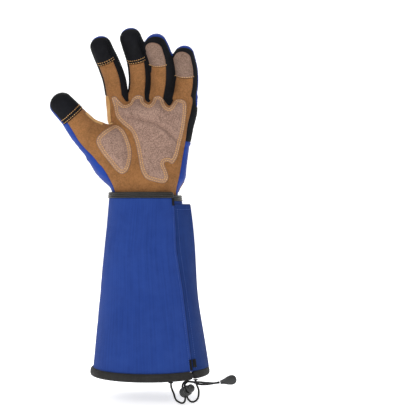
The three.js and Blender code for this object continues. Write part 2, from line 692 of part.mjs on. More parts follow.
function addTapes() {
  const widthAt = (height) => blend(RIM_WIDTH, TOP_WIDTH, height / CUFF_HEIGHT);
  const turnOf = (width, height) => (2 * HALF_TURN * width) / (Math.PI * widthAt(height));
  const foot = HEM_HEIGHT + GAP;
  const lowWidth = turnOf(TAPE_WIDTH, 0);
  const highWidth = turnOf(TAPE_WIDTH, CUFF_HEIGHT);
  addTape("slit_tape_low", [-lowWidth, -0.2], [foot, foot + 12], GAP, TAPE_THICKNESS);
  const lowEdge = CUFF_HEIGHT - 9;
  addTape("slit_tape_high", [-highWidth, -0.2], [lowEdge, CUFF_HEIGHT - 0.2], GAP, TAPE_THICKNESS);
  const tabStart = 1.5;
  const tabEnd = tabStart + turnOf(TAB_WIDTH, 0);
  addTape("hem_tab", [tabStart, tabEnd], [foot + 3, foot + 3 + TAB_HEIGHT], GAP, TAPE_THICKNESS);
}

// The draw cord: both of its ends leave the hem's underside, loop down, pass up through the lock
// side by side and run on to one shared end piece. All positions are in mm from the origin.

const LOCK_CENTRE = new THREE.Vector3(38.2, -45.5, -12.8);
const LOCK_AXIS = new THREE.Vector3(0.457, -0.762, 0.457).normalize(); // towards the button
const PASS_ROUGHLY = new THREE.Vector3(-0.22, 0.4, 0.89);
const PASS = PASS_ROUGHLY.clone().addScaledVector(LOCK_AXIS, -PASS_ROUGHLY.dot(LOCK_AXIS)).normalize();
const BESIDE = new THREE.Vector3().crossVectors(LOCK_AXIS, PASS);
const PASS_CENTRE = LOCK_CENTRE.clone().addScaledVector(LOCK_AXIS, -2);
const CORD_END_FACE = new THREE.Vector3(76.5, -42.3, -3.6);

const CORDS = {
  draw_cord_front: {
    side: 0.5,
    loop: [
      { x: 21.5, y: -50.4, z: -1.2 },
      { x: 21.9, y: -51, z: -6.5 },
      { x: 24.7, y: -52.6, z: -14 },
      { x: 27.2, y: -53, z: -20.6 },
      { x: 33.6, y: -52.1, z: -24.3 },
      { x: 36.3, y: -50.3, z: -23.5 },
    ],
    tail: [
      { x: 35.7, y: -40.9, z: -4.4 },
      { x: 38.7, y: -40.9, z: -2.3 },
      { x: 45, y: -42.2, z: -2.8 },
      { x: 53, y: -43.2, z: -3 },
      { x: 62, y: -43.7, z: -3.7 },
      { x: 70, y: -43.8, z: -4.2 },
    ],
  },
  draw_cord_side: {
    side: -0.5,
    loop: [
      { x: 49.6, y: -34.6, z: -1.2 },
      { x: 50, y: -35.1, z: -5 },
      { x: 53, y: -39.6, z: -13.5 },
      { x: 51, y: -44.2, z: -21.8 },
      { x: 46.3, y: -46.4, z: -24.3 },
      { x: 42.6, y: -47, z: -23 },
    ],
    tail: [
      { x: 38.1, y: -39, z: -5 },
      { x: 41.1, y: -38.1, z: -3.2 },
      { x: 46.5, y: -38.9, z: -3.6 },
      { x: 52.9, y: -40, z: -5.8 },
      { x: 62, y: -40.8, z: -6 },
      { x: 70, y: -41, z: -4.8 },
    ],
  },
};

const vector = ({ x, y, z }) => new THREE.Vector3(x, y, z);

function cordCurve({ side, loop, tail }) {
  const inLock = (along) =>
    PASS_CENTRE.clone().addScaledVector(BESIDE, side * CORD_SPACING).addScaledVector(PASS, along);
  const half = LOCK_DIAMETER / 2;
  const through = [-half - 1.2, -half / 2, half / 2, half + 0.8].map(inLock);
  const end = CORD_END_FACE.clone().add(new THREE.Vector3(-GAP, -side * 2.8, 0));
  const points = [...loop.map(vector), ...through, ...tail.map(vector), end];
  return new THREE.CatmullRomCurve3(points, false, "centripetal");
}

function addCords() {
  const section = new THREE.Shape();
  for (let i = 0; i < CORD_SIDES; i++) {
    const a = (2 * Math.PI * i) / CORD_SIDES;
    const point = [Math.cos(a), Math.sin(a)].map((v) => (v * CORD_DIAMETER) / 2);
    i ? section.lineTo(...point) : section.moveTo(...point);
  }
  for (const [name, cord] of Object.entries(CORDS)) {
    const extrudePath = cordCurve(cord);
    const geometry = new THREE.ExtrudeGeometry(section, { steps: CORD_STEPS, extrudePath });
    addMesh(name, geometry, BLACK_KNIT);
  }
}

function turned(profile, segments) {
  return new THREE.LatheGeometry(profile.map(([r, h]) => new THREE.Vector2(r, h)), segments);
}

function addEyelets() {
  const bore = CORD_DIAMETER / 2 + GAP;
  const rim = EYELET_DIAMETER / 2;
  const profile = [[bore, 0], [rim, 0], [rim, EYELET_HEIGHT], [bore, EYELET_HEIGHT], [bore, 0]];
  for (const [name, cord] of [
    ["eyelet_front", CORDS.draw_cord_front],
    ["eyelet_side", CORDS.draw_cord_side],
  ]) {
    const mesh = addMesh(name, turned(profile, 14).rotateX(Math.PI / 2), BLACK_PLASTIC);
    mesh.position.copy(vector(cord.loop[0])).setZ(-HEM_DIP - GAP - EYELET_HEIGHT);
  }
}

function addLock() {
  const r = LOCK_DIAMETER / 2;
  const half = LOCK_LENGTH / 2;
  const ribs = Array.from({ length: 2 * LOCK_RIBS + 1 }, (_, i) => [
    r - (i % 2 ? RIB_DEPTH : 0),
    blend(-half + 1, half - 1, i / (2 * LOCK_RIBS)),
  ]);
  const well = [BUTTON_STEM_DIAMETER / 2 + GAP, half - BUTTON_STEM_LENGTH - GAP];
  const ends = [[[0, -half], [r - 1.2, -half]], [[r - 1.2, half], [well[0], half], well, [0, well[1]]]];
  const body = turned([...ends[0], ...ribs, ...ends[1]], 14);
  const place = (geometry, along) =>
    geometry
      .applyQuaternion(new THREE.Quaternion().setFromUnitVectors(AFT, LOCK_AXIS))
      .translate(...LOCK_CENTRE.clone().addScaledVector(LOCK_AXIS, along));
  const pass = CORD_DIAMETER / 2 + GAP;
  const slot = new THREE.BoxGeometry(CORD_SPACING + 2 * pass, 2 * pass, 2 * LOCK_DIAMETER);
  slot.applyMatrix4(new THREE.Matrix4().makeBasis(BESIDE, LOCK_AXIS.clone().negate(), PASS));
  slot.translate(...PASS_CENTRE);
  addSolid("cord_lock_body", solid(place(body, 0)).subtract(solid(slot)), BLACK_PLASTIC);
  const ball = BUTTON_DIAMETER / 2;
  const stem = BUTTON_STEM_DIAMETER / 2;
  const dome = Array.from({ length: 7 }, (_, i) => {
    const a = degrees(blend(-56, 90, i / 6));
    return [i === 6 ? 0 : ball * Math.cos(a), GAP + 0.9 * ball + ball * Math.sin(a)];
  });
  const button = turned([[0, -BUTTON_STEM_LENGTH], [stem, -BUTTON_STEM_LENGTH], [stem, GAP], ...dome], 14);
  addMesh("cord_lock_button", faceOut(place(button, half)), BLACK_PLASTIC);
}

function addCordEnd() {
  const neck = CORD_END_NECK / 2;
  const wide = CORD_END_WIDTH / 2;
  const centre = CORD_END_LENGTH - wide;
  const shape = new THREE.Shape();
  shape.moveTo(0, -neck);
  shape.lineTo(centre, -wide);
  shape.absarc(centre, 0, wide, -Math.PI / 2, Math.PI / 2, false);
  shape.lineTo(0, neck);
  const bevel = 1.2;
  const geometry = new THREE.ExtrudeGeometry(shape, {
    depth: CORD_END_THICKNESS - 2 * bevel,
    bevelThickness: bevel,
    bevelSize: bevel,
    bevelOffset: -bevel,
    bevelSegments: 2,
    curveSegments: 8,
  });
  geometry.translate(0, 0, -CORD_END_THICKNESS / 2 + bevel).rotateX(Math.PI / 2);
  const mesh = addMesh("cord_end", geometry, BLACK_PLASTIC);
  mesh.rotation.y = -degrees(CORD_END_TILT);
  mesh.position.copy(CORD_END_FACE).x += neck * Math.sin(degrees(CORD_END_TILT));
}

addHandPanels();
addPatches();
addCuffBody();
addHem();
addBinding();
addFlap();
addTapes();
addCords();
addEyelets();
addLock();
addCordEnd();

export default group;
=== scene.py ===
"""A left-hand rose pruning gauntlet in the form that a hand and forearm give it.

The hand is one smooth skin, cut along its seams into panels. Pads and patches are raised from it,
and the cuff, its flap, hem and binding are lofted round one cone. Sizes in the tables are
millimetres and become metres when a mesh is made. The palm faces -Y and the thumb is at -X.
"""
import logging
import math
from collections.abc import Callable, Sequence
from dataclasses import dataclass, field
from enum import Enum, auto

import bmesh
import bpy
import numpy as np
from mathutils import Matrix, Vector, kdtree


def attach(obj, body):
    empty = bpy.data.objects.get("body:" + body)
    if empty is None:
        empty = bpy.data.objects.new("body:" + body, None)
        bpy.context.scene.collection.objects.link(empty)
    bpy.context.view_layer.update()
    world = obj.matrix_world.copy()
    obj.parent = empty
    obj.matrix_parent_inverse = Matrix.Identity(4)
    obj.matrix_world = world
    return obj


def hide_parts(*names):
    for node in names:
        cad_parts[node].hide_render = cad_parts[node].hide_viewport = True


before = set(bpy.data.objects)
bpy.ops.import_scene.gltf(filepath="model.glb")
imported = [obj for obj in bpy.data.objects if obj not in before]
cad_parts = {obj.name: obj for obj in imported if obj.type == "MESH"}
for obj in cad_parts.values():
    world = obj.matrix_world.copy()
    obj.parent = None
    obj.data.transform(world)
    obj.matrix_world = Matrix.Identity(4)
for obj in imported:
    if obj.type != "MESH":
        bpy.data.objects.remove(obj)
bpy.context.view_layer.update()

LOG = logging.getLogger("gauntlet")
Array = np.ndarray
MM = 0.001
BODY = "root"
AFT = np.array([0.0, 1.0, 0.0])
SQUARENESS = 0.72


# Small mathematics on arrays of points

def unit(vectors: Array) -> Array:
    """The vectors, each made one long."""
    return vectors / np.maximum(np.linalg.norm(vectors, axis=-1, keepdims=True), 1e-12)


def ease(values: Array, low: float, high: float) -> Array:
    """A smooth step from 0 at low to 1 at high."""
    t = np.clip((np.asarray(values, float) - low) / (high - low), 0.0, 1.0)
    return t * t * (3.0 - 2.0 * t)


def bell(values: Array, width: float) -> Array:
    """A smooth bump, 1 at zero and almost gone at twice the width."""
    return np.exp(-((np.asarray(values, float) / width) ** 2))


def ripple(points: Array, length: float, seed: int) -> Array:
    """Smooth noise over points.

    Args:
        points: places in mm.
        length: typical distance from crest to crest, in mm.
        seed: fixed start of the noise.

    Returns:
        One value for each point, from about -1 to 1.
    """
    source = np.random.default_rng(seed)
    total = np.zeros(len(points))
    for _ in range(9):
        way = unit(source.normal(size=3))
        turns = 2.0 * math.pi / (length * source.uniform(0.7, 1.6))
        total += np.sin(points @ way * turns + source.uniform(0.0, 2.0 * math.pi))
    return total / 4.0


def centripetal(points: Array, share: Array, closed: bool = False) -> Array:
    """Places on a centripetal Catmull-Rom curve.

    Args:
        points: the points that the curve passes through.
        share: places along it, from 0 to 1, with equal parts from point to point.
        closed: whether the curve comes back to its start.

    Returns:
        One point for each share.
    """
    p = np.asarray(points, float)
    count = len(p)
    if closed:
        place = (np.asarray(share, float) % 1.0) * count
        i = np.floor(place).astype(int) % count
        t = place - np.floor(place)
        p0, p1, p2, p3 = (p[(i + k) % count] for k in (-1, 0, 1, 2))
    else:
        place = np.clip(np.asarray(share, float), 0.0, 1.0) * (count - 1)
        i = np.minimum(np.floor(place).astype(int), count - 2)
        t = place - i
        longer = np.vstack([2 * p[0] - p[1], p, 2 * p[-1] - p[-2]])
        p0, p1, p2, p3 = (longer[i + k] for k in (0, 1, 2, 3))
    step = [np.maximum(np.sqrt(np.linalg.norm(b - a, axis=-1, keepdims=True)), 1e-4)
            for a, b in ((p0, p1), (p1, p2), (p2, p3))]
    out = ((p1 - p0) / step[0] - (p2 - p0) / (step[0] + step[1]) + (p2 - p1) / step[1]) * step[1]
    into = ((p2 - p1) / step[1] - (p3 - p1) / (step[1] + step[2]) + (p3 - p2) / step[2]) * step[1]
    t = t[:, None]
    return (p1 + out * t + (3 * (p2 - p1) - 2 * out - into) * t ** 2
            + (2 * (p1 - p2) + out + into) * t ** 3)


def smooth_rows(x: Array, places: Array, values: Array) -> Array:
    """A smooth curve through a table's values, held level past its ends.

    Args:
        x: where to read it.
        places: the table's places, rising.
        values: the table's values there.

    Returns:
        The value at each x.
    """
    slope = np.gradient(values, places)
    slope[0] = slope[-1] = 0.0
    x = np.clip(x, places[0], places[-1])
    i = np.clip(np.searchsorted(places, x) - 1, 0, len(places) - 2)
    wide = places[i + 1] - places[i]
    t = (x - places[i]) / wide
    a, b, m, n = values[i], values[i + 1], slope[i] * wide, slope[i + 1] * wide
    return a + m * t + (3 * (b - a) - 2 * m - n) * t ** 2 + (2 * (a - b) + m + n) * t ** 3


def outline_gap(x: Array, z: Array, outline: Array) -> Array:
    """Distance of points to a closed flat outline, negative inside it."""
    best = np.full(len(x), 1e9)
    inside = np.zeros(len(x), bool)
    for (ax, az), (bx, bz) in zip(outline, np.roll(outline, -1, axis=0)):
        ex, ez = bx - ax, bz - az
        t = np.clip(((x - ax) * ex + (z - az) * ez) / (ex * ex + ez * ez + 1e-12), 0.0, 1.0)
        best = np.minimum(best, (x - ax - t * ex) ** 2 + (z - az - t * ez) ** 2)
        crosses = (az > z) != (bz > z)
        if crosses.any():
            inside ^= crosses & (x < ax + (z - az) * ex / (ez if ez else 1e-12))
    return np.where(inside, -1.0, 1.0) * np.sqrt(best)


def line_distance(points: Array, line: Array) -> Array:
    """The distance of flat points to an open line of points."""
    best = np.full(len(points), 1e9)
    for a, b in zip(line[:-1], line[1:]):
        t = np.clip(((points - a) @ (b - a)) / ((b - a) @ (b - a)), 0.0, 1.0)
        best = np.minimum(best, np.linalg.norm(points - a - t[:, None] * (b - a), axis=1))
    return best


def squared(values: Array) -> Array:
    """Values from -1 to 1 pushed outwards, which turns a round section into a squarer one."""
    return np.sign(values) * abs(values) ** SQUARENESS


def melt(a: Array, b: Array, reach: float) -> Array:
    """The lower of two distances, with a fillet of about this reach where they meet."""
    h = np.clip(0.5 + 0.5 * (b - a) / reach, 0.0, 1.0)
    return b * (1 - h) + a * h - reach * h * (1 - h)


# Meshes and pieces

@dataclass
class Patchwork:
    """Points in mm with their faces, and what a material needs to know at each point."""

    points: Array
    faces: Sequence[Sequence[int]]
    uv: Array | None = None
    marks: dict[str, Array] = field(default_factory=dict)

    def to_object(self, name: str, finish: bpy.types.Material) -> bpy.types.Object:
        """A smooth-shaded object with this mesh in metres, in one finish."""
        mesh = bpy.data.meshes.new(name)
        mesh.from_pydata((self.points * MM).tolist(), [], [tuple(map(int, f)) for f in self.faces])
        mesh.polygons.foreach_set("use_smooth", [True] * len(mesh.polygons))
        for key, values in self.marks.items():
            layer = mesh.attributes.new(key, "FLOAT", "POINT")
            layer.data.foreach_set("value", np.asarray(values, np.float32))
        if self.uv is not None:
            corners = np.empty(len(mesh.loops), np.int32)
            mesh.loops.foreach_get("vertex_index", corners)
            mesh.uv_layers.new(name="cloth").data.foreach_set("uv", (self.uv[corners] * MM).ravel())
        mesh.materials.append(finish)
        mesh.update()
        made = bpy.data.objects.new(name, mesh)
        bpy.context.scene.collection.objects.link(made)
        return made


def settle(piece: bpy.types.Object, slot: str, *nodes: str) -> bpy.types.Object:
    """Makes a piece ride on the object, in place of its CAD nodes, and reports it."""
    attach(piece, BODY)
    if nodes:
        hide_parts(*nodes)
    LOG.info("%s: %d faces, for %s", piece.name, len(piece.data.polygons), ", ".join(nodes) or "detail")
    return piece


def weld(piece: bpy.types.Object, reach: float) -> None:
    """Joins points closer than reach, in mm, and drops the slivers that were between them."""
    work = bmesh.new()
    work.from_mesh(piece.data)
    bmesh.ops.remove_doubles(work, verts=work.verts[:], dist=reach * MM)
    bmesh.ops.dissolve_degenerate(work, edges=work.edges[:], dist=1e-7)
    work.to_mesh(piece.data)
    work.free()


def shell(outer: Array, inner: Array) -> tuple[Array, list[tuple[int, ...]]]:
    """A closed sheet from two grids of points, the outer one seen from outside anticlockwise.

    Args:
        outer: rows by columns by 3, the outer face.
        inner: the same, the inner face.

    Returns:
        All points, the outer ones first, and the faces.
    """
    rows, columns = outer.shape[:2]
    at = np.arange(rows * columns).reshape(rows, columns)
    back = at + rows * columns
    a, b, c, d = at[:-1, :-1], at[1:, :-1], at[1:, 1:], at[:-1, 1:]
    faces = np.stack([a, b, c, d], -1).reshape(-1, 4).tolist()
    a, b, c, d = back[:-1, :-1], back[:-1, 1:], back[1:, 1:], back[1:, :-1]
    faces += np.stack([a, b, c, d], -1).reshape(-1, 4).tolist()
    rim = np.concatenate([at[0, :-1], at[:-1, -1], at[-1, :0:-1], at[:0:-1, 0]])
    other = rim + rows * columns
    for k in range(len(rim)):
        n = (k + 1) % len(rim)
        faces.append((rim[k], rim[n], other[n], other[k]))
    return np.concatenate([outer.reshape(-1, 3), inner.reshape(-1, 3)]), faces


def loft(rings: Array, looped: bool = False) -> list[tuple[int, ...]]:
    """Faces between rings of equal length, closed by a fan at each end unless it is looped."""
    rows, count = rings.shape[:2]
    faces = []
    for r in range(rows if looped else rows - 1):
        here, there = r * count, ((r + 1) % rows) * count
        faces += [(here + i, here + (i + 1) % count, there + (i + 1) % count, there + i)
                  for i in range(count)]
    if not looped:
        faces.append(tuple(range(count))[::-1])
        faces.append(tuple(range((rows - 1) * count, rows * count)))
    return faces


def outward(piece: bpy.types.Object) -> None:
    """Turns a closed mesh's faces outwards."""
    work = bmesh.new()
    work.from_mesh(piece.data)
    bmesh.ops.recalc_face_normals(work, faces=work.faces[:])
    work.to_mesh(piece.data)
    work.free()


def lofted(name: str, rings: Array, material: bpy.types.Material, cloth: Array | None = None,
           looped: bool = False) -> bpy.types.Object:
    """Makes a piece over rings of points.

    Args:
        name: the piece's name.
        rings: rows of points in mm, all of one length.
        material: its material.
        cloth: where each point lies on the flat cloth, in mm.
        looped: whether the last ring joins the first, instead of both being closed.

    Returns:
        The piece, with its faces outward.
    """
    made = Patchwork(rings.reshape(-1, 3), loft(rings, looped), cloth).to_object(name, material)
    outward(made)
    return made


# Finishes

def linear(code: int) -> tuple[float, float, float, float]:
    """A colour given as a hex code, as the shader's linear red, green, blue and alpha."""
    parts = [((code >> shift) & 255) / 255 for shift in (16, 8, 0)]
    out = [p / 12.92 if p <= 0.04045 else ((p + 0.055) / 1.055) ** 2.4 for p in parts]
    return (*out, 1.0)


def toned(code: int, times: float, plus: float = 0.0) -> tuple[float, float, float, float]:
    """A hex code's linear colour, made lighter or darker."""
    return (*(min(1.0, part * times + plus) for part in linear(code)[:3]), 1.0)


class Graph:
    """A node tree that is being built."""

    def __init__(self, tree: bpy.types.NodeTree) -> None:
        """Works on this tree."""
        self.tree = tree

    def add(self, kind: str, inputs: dict | None = None, **settings: object) -> bpy.types.Node:
        """Adds a node.

        Args:
            kind: the node's type.
            inputs: values or output sockets for its inputs, by name or number.
            settings: the node's own properties.

        Returns:
            The node.
        """
        node = self.tree.nodes.new(kind)
        for key, value in settings.items():
            setattr(node, key, value)
        self.feed(node, inputs or {})
        return node

    def feed(self, node: bpy.types.Node, inputs: dict) -> None:
        """Gives a node's inputs their values, or links them to output sockets."""
        for key, value in inputs.items():
            if isinstance(value, bpy.types.NodeSocket):
                self.tree.links.new(value, node.inputs[key])
            else:
                node.inputs[key].default_value = value

    def group(self, tree: bpy.types.NodeTree, inputs: dict) -> bpy.types.Node:
        """Adds a shared group with its values."""
        return self.add("ShaderNodeGroup", inputs, node_tree=tree)

    def math(self, how: str, a: object, b: object = 0.5, c: object = 0.5) -> bpy.types.NodeSocket:
        """The result of one arithmetic step."""
        return self.add("ShaderNodeMath", {0: a, 1: b, 2: c}, operation=how).outputs[0]

    def noise(self, vector: object, scale: object, detail: float = 3.0,
              rough: float = 0.55) -> bpy.types.NodeSocket:
        """Cloudy noise from 0 to 1."""
        inputs = {"Vector": vector, "Scale": scale, "Detail": detail, "Roughness": rough}
        return self.add("ShaderNodeTexNoise", inputs).outputs[0]

    def spread(self, value: object, low: float, high: float, to_low: object = 0.0,
               to_high: object = 1.0) -> bpy.types.NodeSocket:
        """The value carried smoothly from one range to another."""
        inputs = {0: value, 1: low, 2: high, 3: to_low, 4: to_high}
        return self.add("ShaderNodeMapRange", inputs, interpolation_type="SMOOTHSTEP").outputs[0]

    def mix(self, share: object, a: object, b: object) -> bpy.types.NodeSocket:
        """A colour between two."""
        inputs = {0: share, 6: a, 7: b}
        return self.add("ShaderNodeMix", inputs, data_type="RGBA").outputs[2]


class Effects:
    """Shader groups that several finishes share, each built once."""

    def __init__(self) -> None:
        """Builds every group."""
        self.mottle = self._mottle()
        self.grain = self._grain()
        self.nap = self._nap()
        self.weave = self._weave()
        self.knit = self._knit()
        self.band = self._band()

    @staticmethod
    def _start(name: str, inputs: dict[str, str], outputs: dict[str, str]) -> tuple:
        """A new group with its sockets.

        Args:
            name: the group's name.
            inputs: its inputs' names, each with its socket type.
            outputs: the same for its outputs.

        Returns:
            The tree, its graph, and the nodes that hold its inputs and outputs.
        """
        tree = bpy.data.node_groups.new(name, "ShaderNodeTree")
        for way, sockets in (("INPUT", inputs), ("OUTPUT", outputs)):
            for key, kind in sockets.items():
                tree.interface.new_socket(name=key, in_out=way, socket_type="NodeSocket" + kind)
        graph = Graph(tree)
        return tree, graph, graph.add("NodeGroupInput"), graph.add("NodeGroupOutput")

    def _mottle(self) -> bpy.types.NodeTree:
        """Uneven colour: broad clouds and finer flecks between a dark and a light tone."""
        tree, g, into, out = self._start(
            "Mottle", {"Vector": "Vector", "Scale": "Float", "Dark": "Color", "Light": "Color"},
            {"Color": "Color"})
        broad = g.noise(into.outputs["Vector"], into.outputs["Scale"], 4.0)
        fine = g.noise(into.outputs["Vector"], g.math("MULTIPLY", into.outputs["Scale"], 7.0), 3.0)
        share = g.math("ADD", g.math("MULTIPLY", broad, 0.65), g.math("MULTIPLY", fine, 0.35))
        share = g.spread(share, 0.34, 0.66)
        colour = g.mix(share, into.outputs["Dark"], into.outputs["Light"])
        tree.links.new(colour, out.inputs["Color"])
        return tree

    def _grain(self) -> bpy.types.NodeTree:
        """Pebbled leather grain with shallow creases."""
        tree, g, into, out = self._start(
            "Grain", {"Vector": "Vector", "Scale": "Float", "Crease": "Float"}, {"Height": "Float"})
        cells = g.add("ShaderNodeTexVoronoi",
                      {"Vector": into.outputs["Vector"], "Scale": into.outputs["Scale"]},
                      feature="DISTANCE_TO_EDGE").outputs["Distance"]
        pebbles = g.spread(cells, 0.0, 0.35)
        low = g.math("MULTIPLY", into.outputs["Scale"], 0.16)
        creases = g.math("ABSOLUTE", g.math("SUBTRACT", g.noise(into.outputs["Vector"], low, 4.0), 0.5))
        creases = g.math("MULTIPLY", g.spread(creases, 0.0, 0.08), into.outputs["Crease"])
        tree.links.new(g.math("ADD", g.math("MULTIPLY", pebbles, 0.5), creases), out.inputs["Height"])
        return tree

    def _nap(self) -> bpy.types.NodeTree:
        """Brushed suede: fine fibres with patches that lie another way and look lighter."""
        tree, g, into, out = self._start(
            "Nap", {"Vector": "Vector", "Scale": "Float", "Fleck size": "Float"},
            {"Height": "Float", "Brushed": "Float", "Fleck": "Float"})
        vector = into.outputs["Vector"]
        stretched = g.add("ShaderNodeVectorMath", {0: vector, 1: (1.0, 1.0, 0.45)},
                          operation="MULTIPLY").outputs[0]
        fibre = g.noise(stretched, into.outputs["Scale"], 5.0, 0.7)
        patch = g.noise(vector, g.math("MULTIPLY", into.outputs["Scale"], 0.045), 5.0, 0.62)
        fleck = g.noise(vector, g.math("DIVIDE", 1.0, into.outputs["Fleck size"]), 4.0, 0.75)
        tree.links.new(g.math("MULTIPLY_ADD", fleck, 0.6, fibre), out.inputs["Height"])
        tree.links.new(g.spread(patch, 0.36, 0.64), out.inputs["Brushed"])
        tree.links.new(g.spread(fleck, 0.34, 0.66), out.inputs["Fleck"])
        return tree

    def _weave(self) -> bpy.types.NodeTree:
        """Plain weave on a cloth's own map: threads that pass over and under each other."""
        tree, g, into, out = self._start(
            "Weave", {"Vector": "Vector", "Threads": "Float"}, {"Height": "Float", "Tone": "Float"})
        scaled = g.add("ShaderNodeVectorMath", {0: into.outputs["Vector"]}, operation="SCALE")
        tree.links.new(into.outputs["Threads"], scaled.inputs["Scale"])
        split = g.add("ShaderNodeSeparateXYZ", {0: scaled.outputs[0]})
        x, y = split.outputs[0], split.outputs[1]
        over_x = g.math("SINE", g.math("MULTIPLY", g.math("FRACT", x), math.pi))
        over_y = g.math("SINE", g.math("MULTIPLY", g.math("FRACT", y), math.pi))
        step = g.math("PINGPONG", g.math("ADD", g.math("FLOOR", x), g.math("FLOOR", y)), 1.0)
        warp = g.math("MULTIPLY", over_x, g.math("MULTIPLY_ADD", over_y, 0.5, 0.5))
        weft = g.math("MULTIPLY", over_y, g.math("MULTIPLY_ADD", over_x, 0.5, 0.5))
        height = g.add("ShaderNodeMix", {0: step, 2: warp, 3: weft}).outputs[0]
        streak = g.add("ShaderNodeCombineXYZ", {0: g.math("FLOOR", x), 1: g.math("MULTIPLY", y, 0.02)})
        tone = g.noise(streak.outputs[0], 0.37, 2.0)
        tree.links.new(height, out.inputs["Height"])
        tree.links.new(g.spread(tone, 0.3, 0.7), out.inputs["Tone"])
        return tree

    def _knit(self) -> bpy.types.NodeTree:
        """Fine knit cloth: small loops in columns, with a soft broad unevenness."""
        tree, g, into, out = self._start(
            "Knit", {"Vector": "Vector", "Scale": "Float"}, {"Height": "Float", "Tone": "Float"})
        cells = g.add("ShaderNodeTexVoronoi",
                      {"Vector": into.outputs["Vector"], "Scale": into.outputs["Scale"],
                       "Randomness": 0.35}).outputs["Distance"]
        broad = g.noise(into.outputs["Vector"], g.math("MULTIPLY", into.outputs["Scale"], 0.03), 3.0)
        tree.links.new(g.math("SUBTRACT", 1.0, cells), out.inputs["Height"])
        tree.links.new(g.spread(broad, 0.3, 0.7), out.inputs["Tone"])
        return tree

    def _band(self) -> bpy.types.NodeTree:
        """A band along an edge: 1 at the edge and 0 past the given width."""
        tree, g, into, out = self._start(
            "Edge band", {"Distance": "Float", "Width": "Float", "Vector": "Vector"}, {"Mask": "Float"})
        wander = g.math("MULTIPLY_ADD", g.noise(into.outputs["Vector"], 220.0, 2.0), 0.8, -0.4)
        place = g.math("SUBTRACT", g.math("ADD", into.outputs["Distance"], wander), into.outputs["Width"])
        tree.links.new(g.spread(place, -0.5, 0.5, 1.0, 0.0), out.inputs["Mask"])
        return tree


class Surface(Enum):
    """How the surface of a finish is made up."""

    GRAIN = auto()
    SUEDE = auto()
    KNIT = auto()
    WEAVE = auto()
    BRAID = auto()
    MOULDED = auto()


@dataclass(frozen=True)
class Finish:
    """One material: its tones, its surface, and how it meets light."""

    name: str
    dark: int
    light: int
    surface: Surface
    roughness: float = 0.8
    scale: float = 900.0
    relief: float = 0.12
    clouds: float = 38.0
    sheen: float = 0.0
    specular: float = 0.35
    coat: float = 0.0
    edge_tone: int | None = None
    edge_width: float = 0.0
    seam_tone: int | None = None
    crease: float = 0.5
    fleck: float = 1.6
    speckle: float = 0.3

    def build(self, effects: Effects) -> bpy.types.Material:
        """The finish as a material.

        Args:
            effects: the shared shader groups.

        Returns:
            The material.
        """
        material = bpy.data.materials.new(self.name)
        material.use_nodes = True
        graph = Graph(material.node_tree)
        shader = material.node_tree.nodes["Principled BSDF"]
        place = graph.add("ShaderNodeTexCoord")
        where = place.outputs["Object"]
        cloth = place.outputs["UV"]

        tones = {"Vector": where, "Scale": self.clouds,
                 "Dark": linear(self.dark), "Light": linear(self.light)}
        colour = graph.group(effects.mottle, tones).outputs["Color"]
        rough = graph.spread(graph.noise(where, self.clouds * 3.0), 0.2, 0.8,
                             self.roughness - 0.07, min(1.0, self.roughness + 0.06))
        if self.surface is Surface.GRAIN:
            inputs = {"Vector": where, "Scale": self.scale, "Crease": self.crease}
            height = graph.group(effects.grain, inputs).outputs["Height"]
        elif self.surface is Surface.SUEDE:
            inputs = {"Vector": where, "Scale": self.scale, "Fleck size": self.fleck * MM}
            nap = graph.group(effects.nap, inputs)
            height = nap.outputs["Height"]
            pale = toned(self.light, 1.3, 0.015)
            shade = toned(self.dark, 0.5)
            speckled = graph.mix(nap.outputs["Fleck"], shade, pale)
            colour = graph.mix(graph.math("MULTIPLY", nap.outputs["Brushed"], 0.3), colour, pale)
            colour = graph.mix(self.speckle, colour, speckled)
        elif self.surface is Surface.KNIT:
            knit = graph.group(effects.knit, {"Vector": where, "Scale": self.scale})
            height = knit.outputs["Height"]
            # Painted shade: where the knit's height is low, between its loops, the colour is darkened toward
            # a deeper tone, as if shade fell there.
            deep = toned(self.dark, 0.62)
            colour = graph.mix(graph.spread(height, 0.35, 0.75, 0.45, 0.0), colour, deep)
        elif self.surface is Surface.WEAVE:
            weave = graph.group(effects.weave, {"Vector": cloth, "Threads": self.scale})
            height = weave.outputs["Height"]
            # Painted shade: where the weave's height is low, between its threads, the colour is darkened
            # toward a deeper tone, as if shade fell there.
            deep = toned(self.dark, 0.6)
            colour = graph.mix(graph.spread(height, 0.15, 0.6, 0.5, 0.0), colour, deep)
            pale = toned(self.light, 1.14)
            colour = graph.mix(graph.math("MULTIPLY", weave.outputs["Tone"], 0.4), colour, pale)
        elif self.surface is Surface.BRAID:
            split = graph.add("ShaderNodeSeparateXYZ", {0: cloth})
            along = graph.math("MULTIPLY", split.outputs[0], self.scale)
            around = graph.math("MULTIPLY", split.outputs[1], 4.0 / MM)
            one = graph.math("ABSOLUTE", graph.math("SINE", graph.math("ADD", along, around)))
            two = graph.math("ABSOLUTE", graph.math("SINE", graph.math("SUBTRACT", along, around)))
            height = graph.math("MULTIPLY", one, two)
        else:
            height = graph.noise(where, self.scale, 4.0)

        mark = graph.add("ShaderNodeAttribute", attribute_name="edge")
        for tone, width, strength in ((self.edge_tone, self.edge_width, 0.72), (self.seam_tone, 0.45, 0.75)):
            if tone is None:
                continue
            inputs = {"Distance": mark.outputs["Fac"], "Width": width, "Vector": where}
            band = graph.math("MULTIPLY", graph.group(effects.band, inputs).outputs["Mask"], strength)
            colour = graph.mix(band, colour, linear(tone))
        bump = graph.add("ShaderNodeBump", {"Strength": 0.9, "Distance": self.relief * MM, "Height": height})
        graph.feed(shader, {"Base Color": colour, "Roughness": rough, "Normal": bump.outputs[0],
                            "Specular IOR Level": self.specular, "Sheen Weight": self.sheen,
                            "Sheen Roughness": 0.45, "Coat Weight": self.coat, "Coat Roughness": 0.25})
        return material


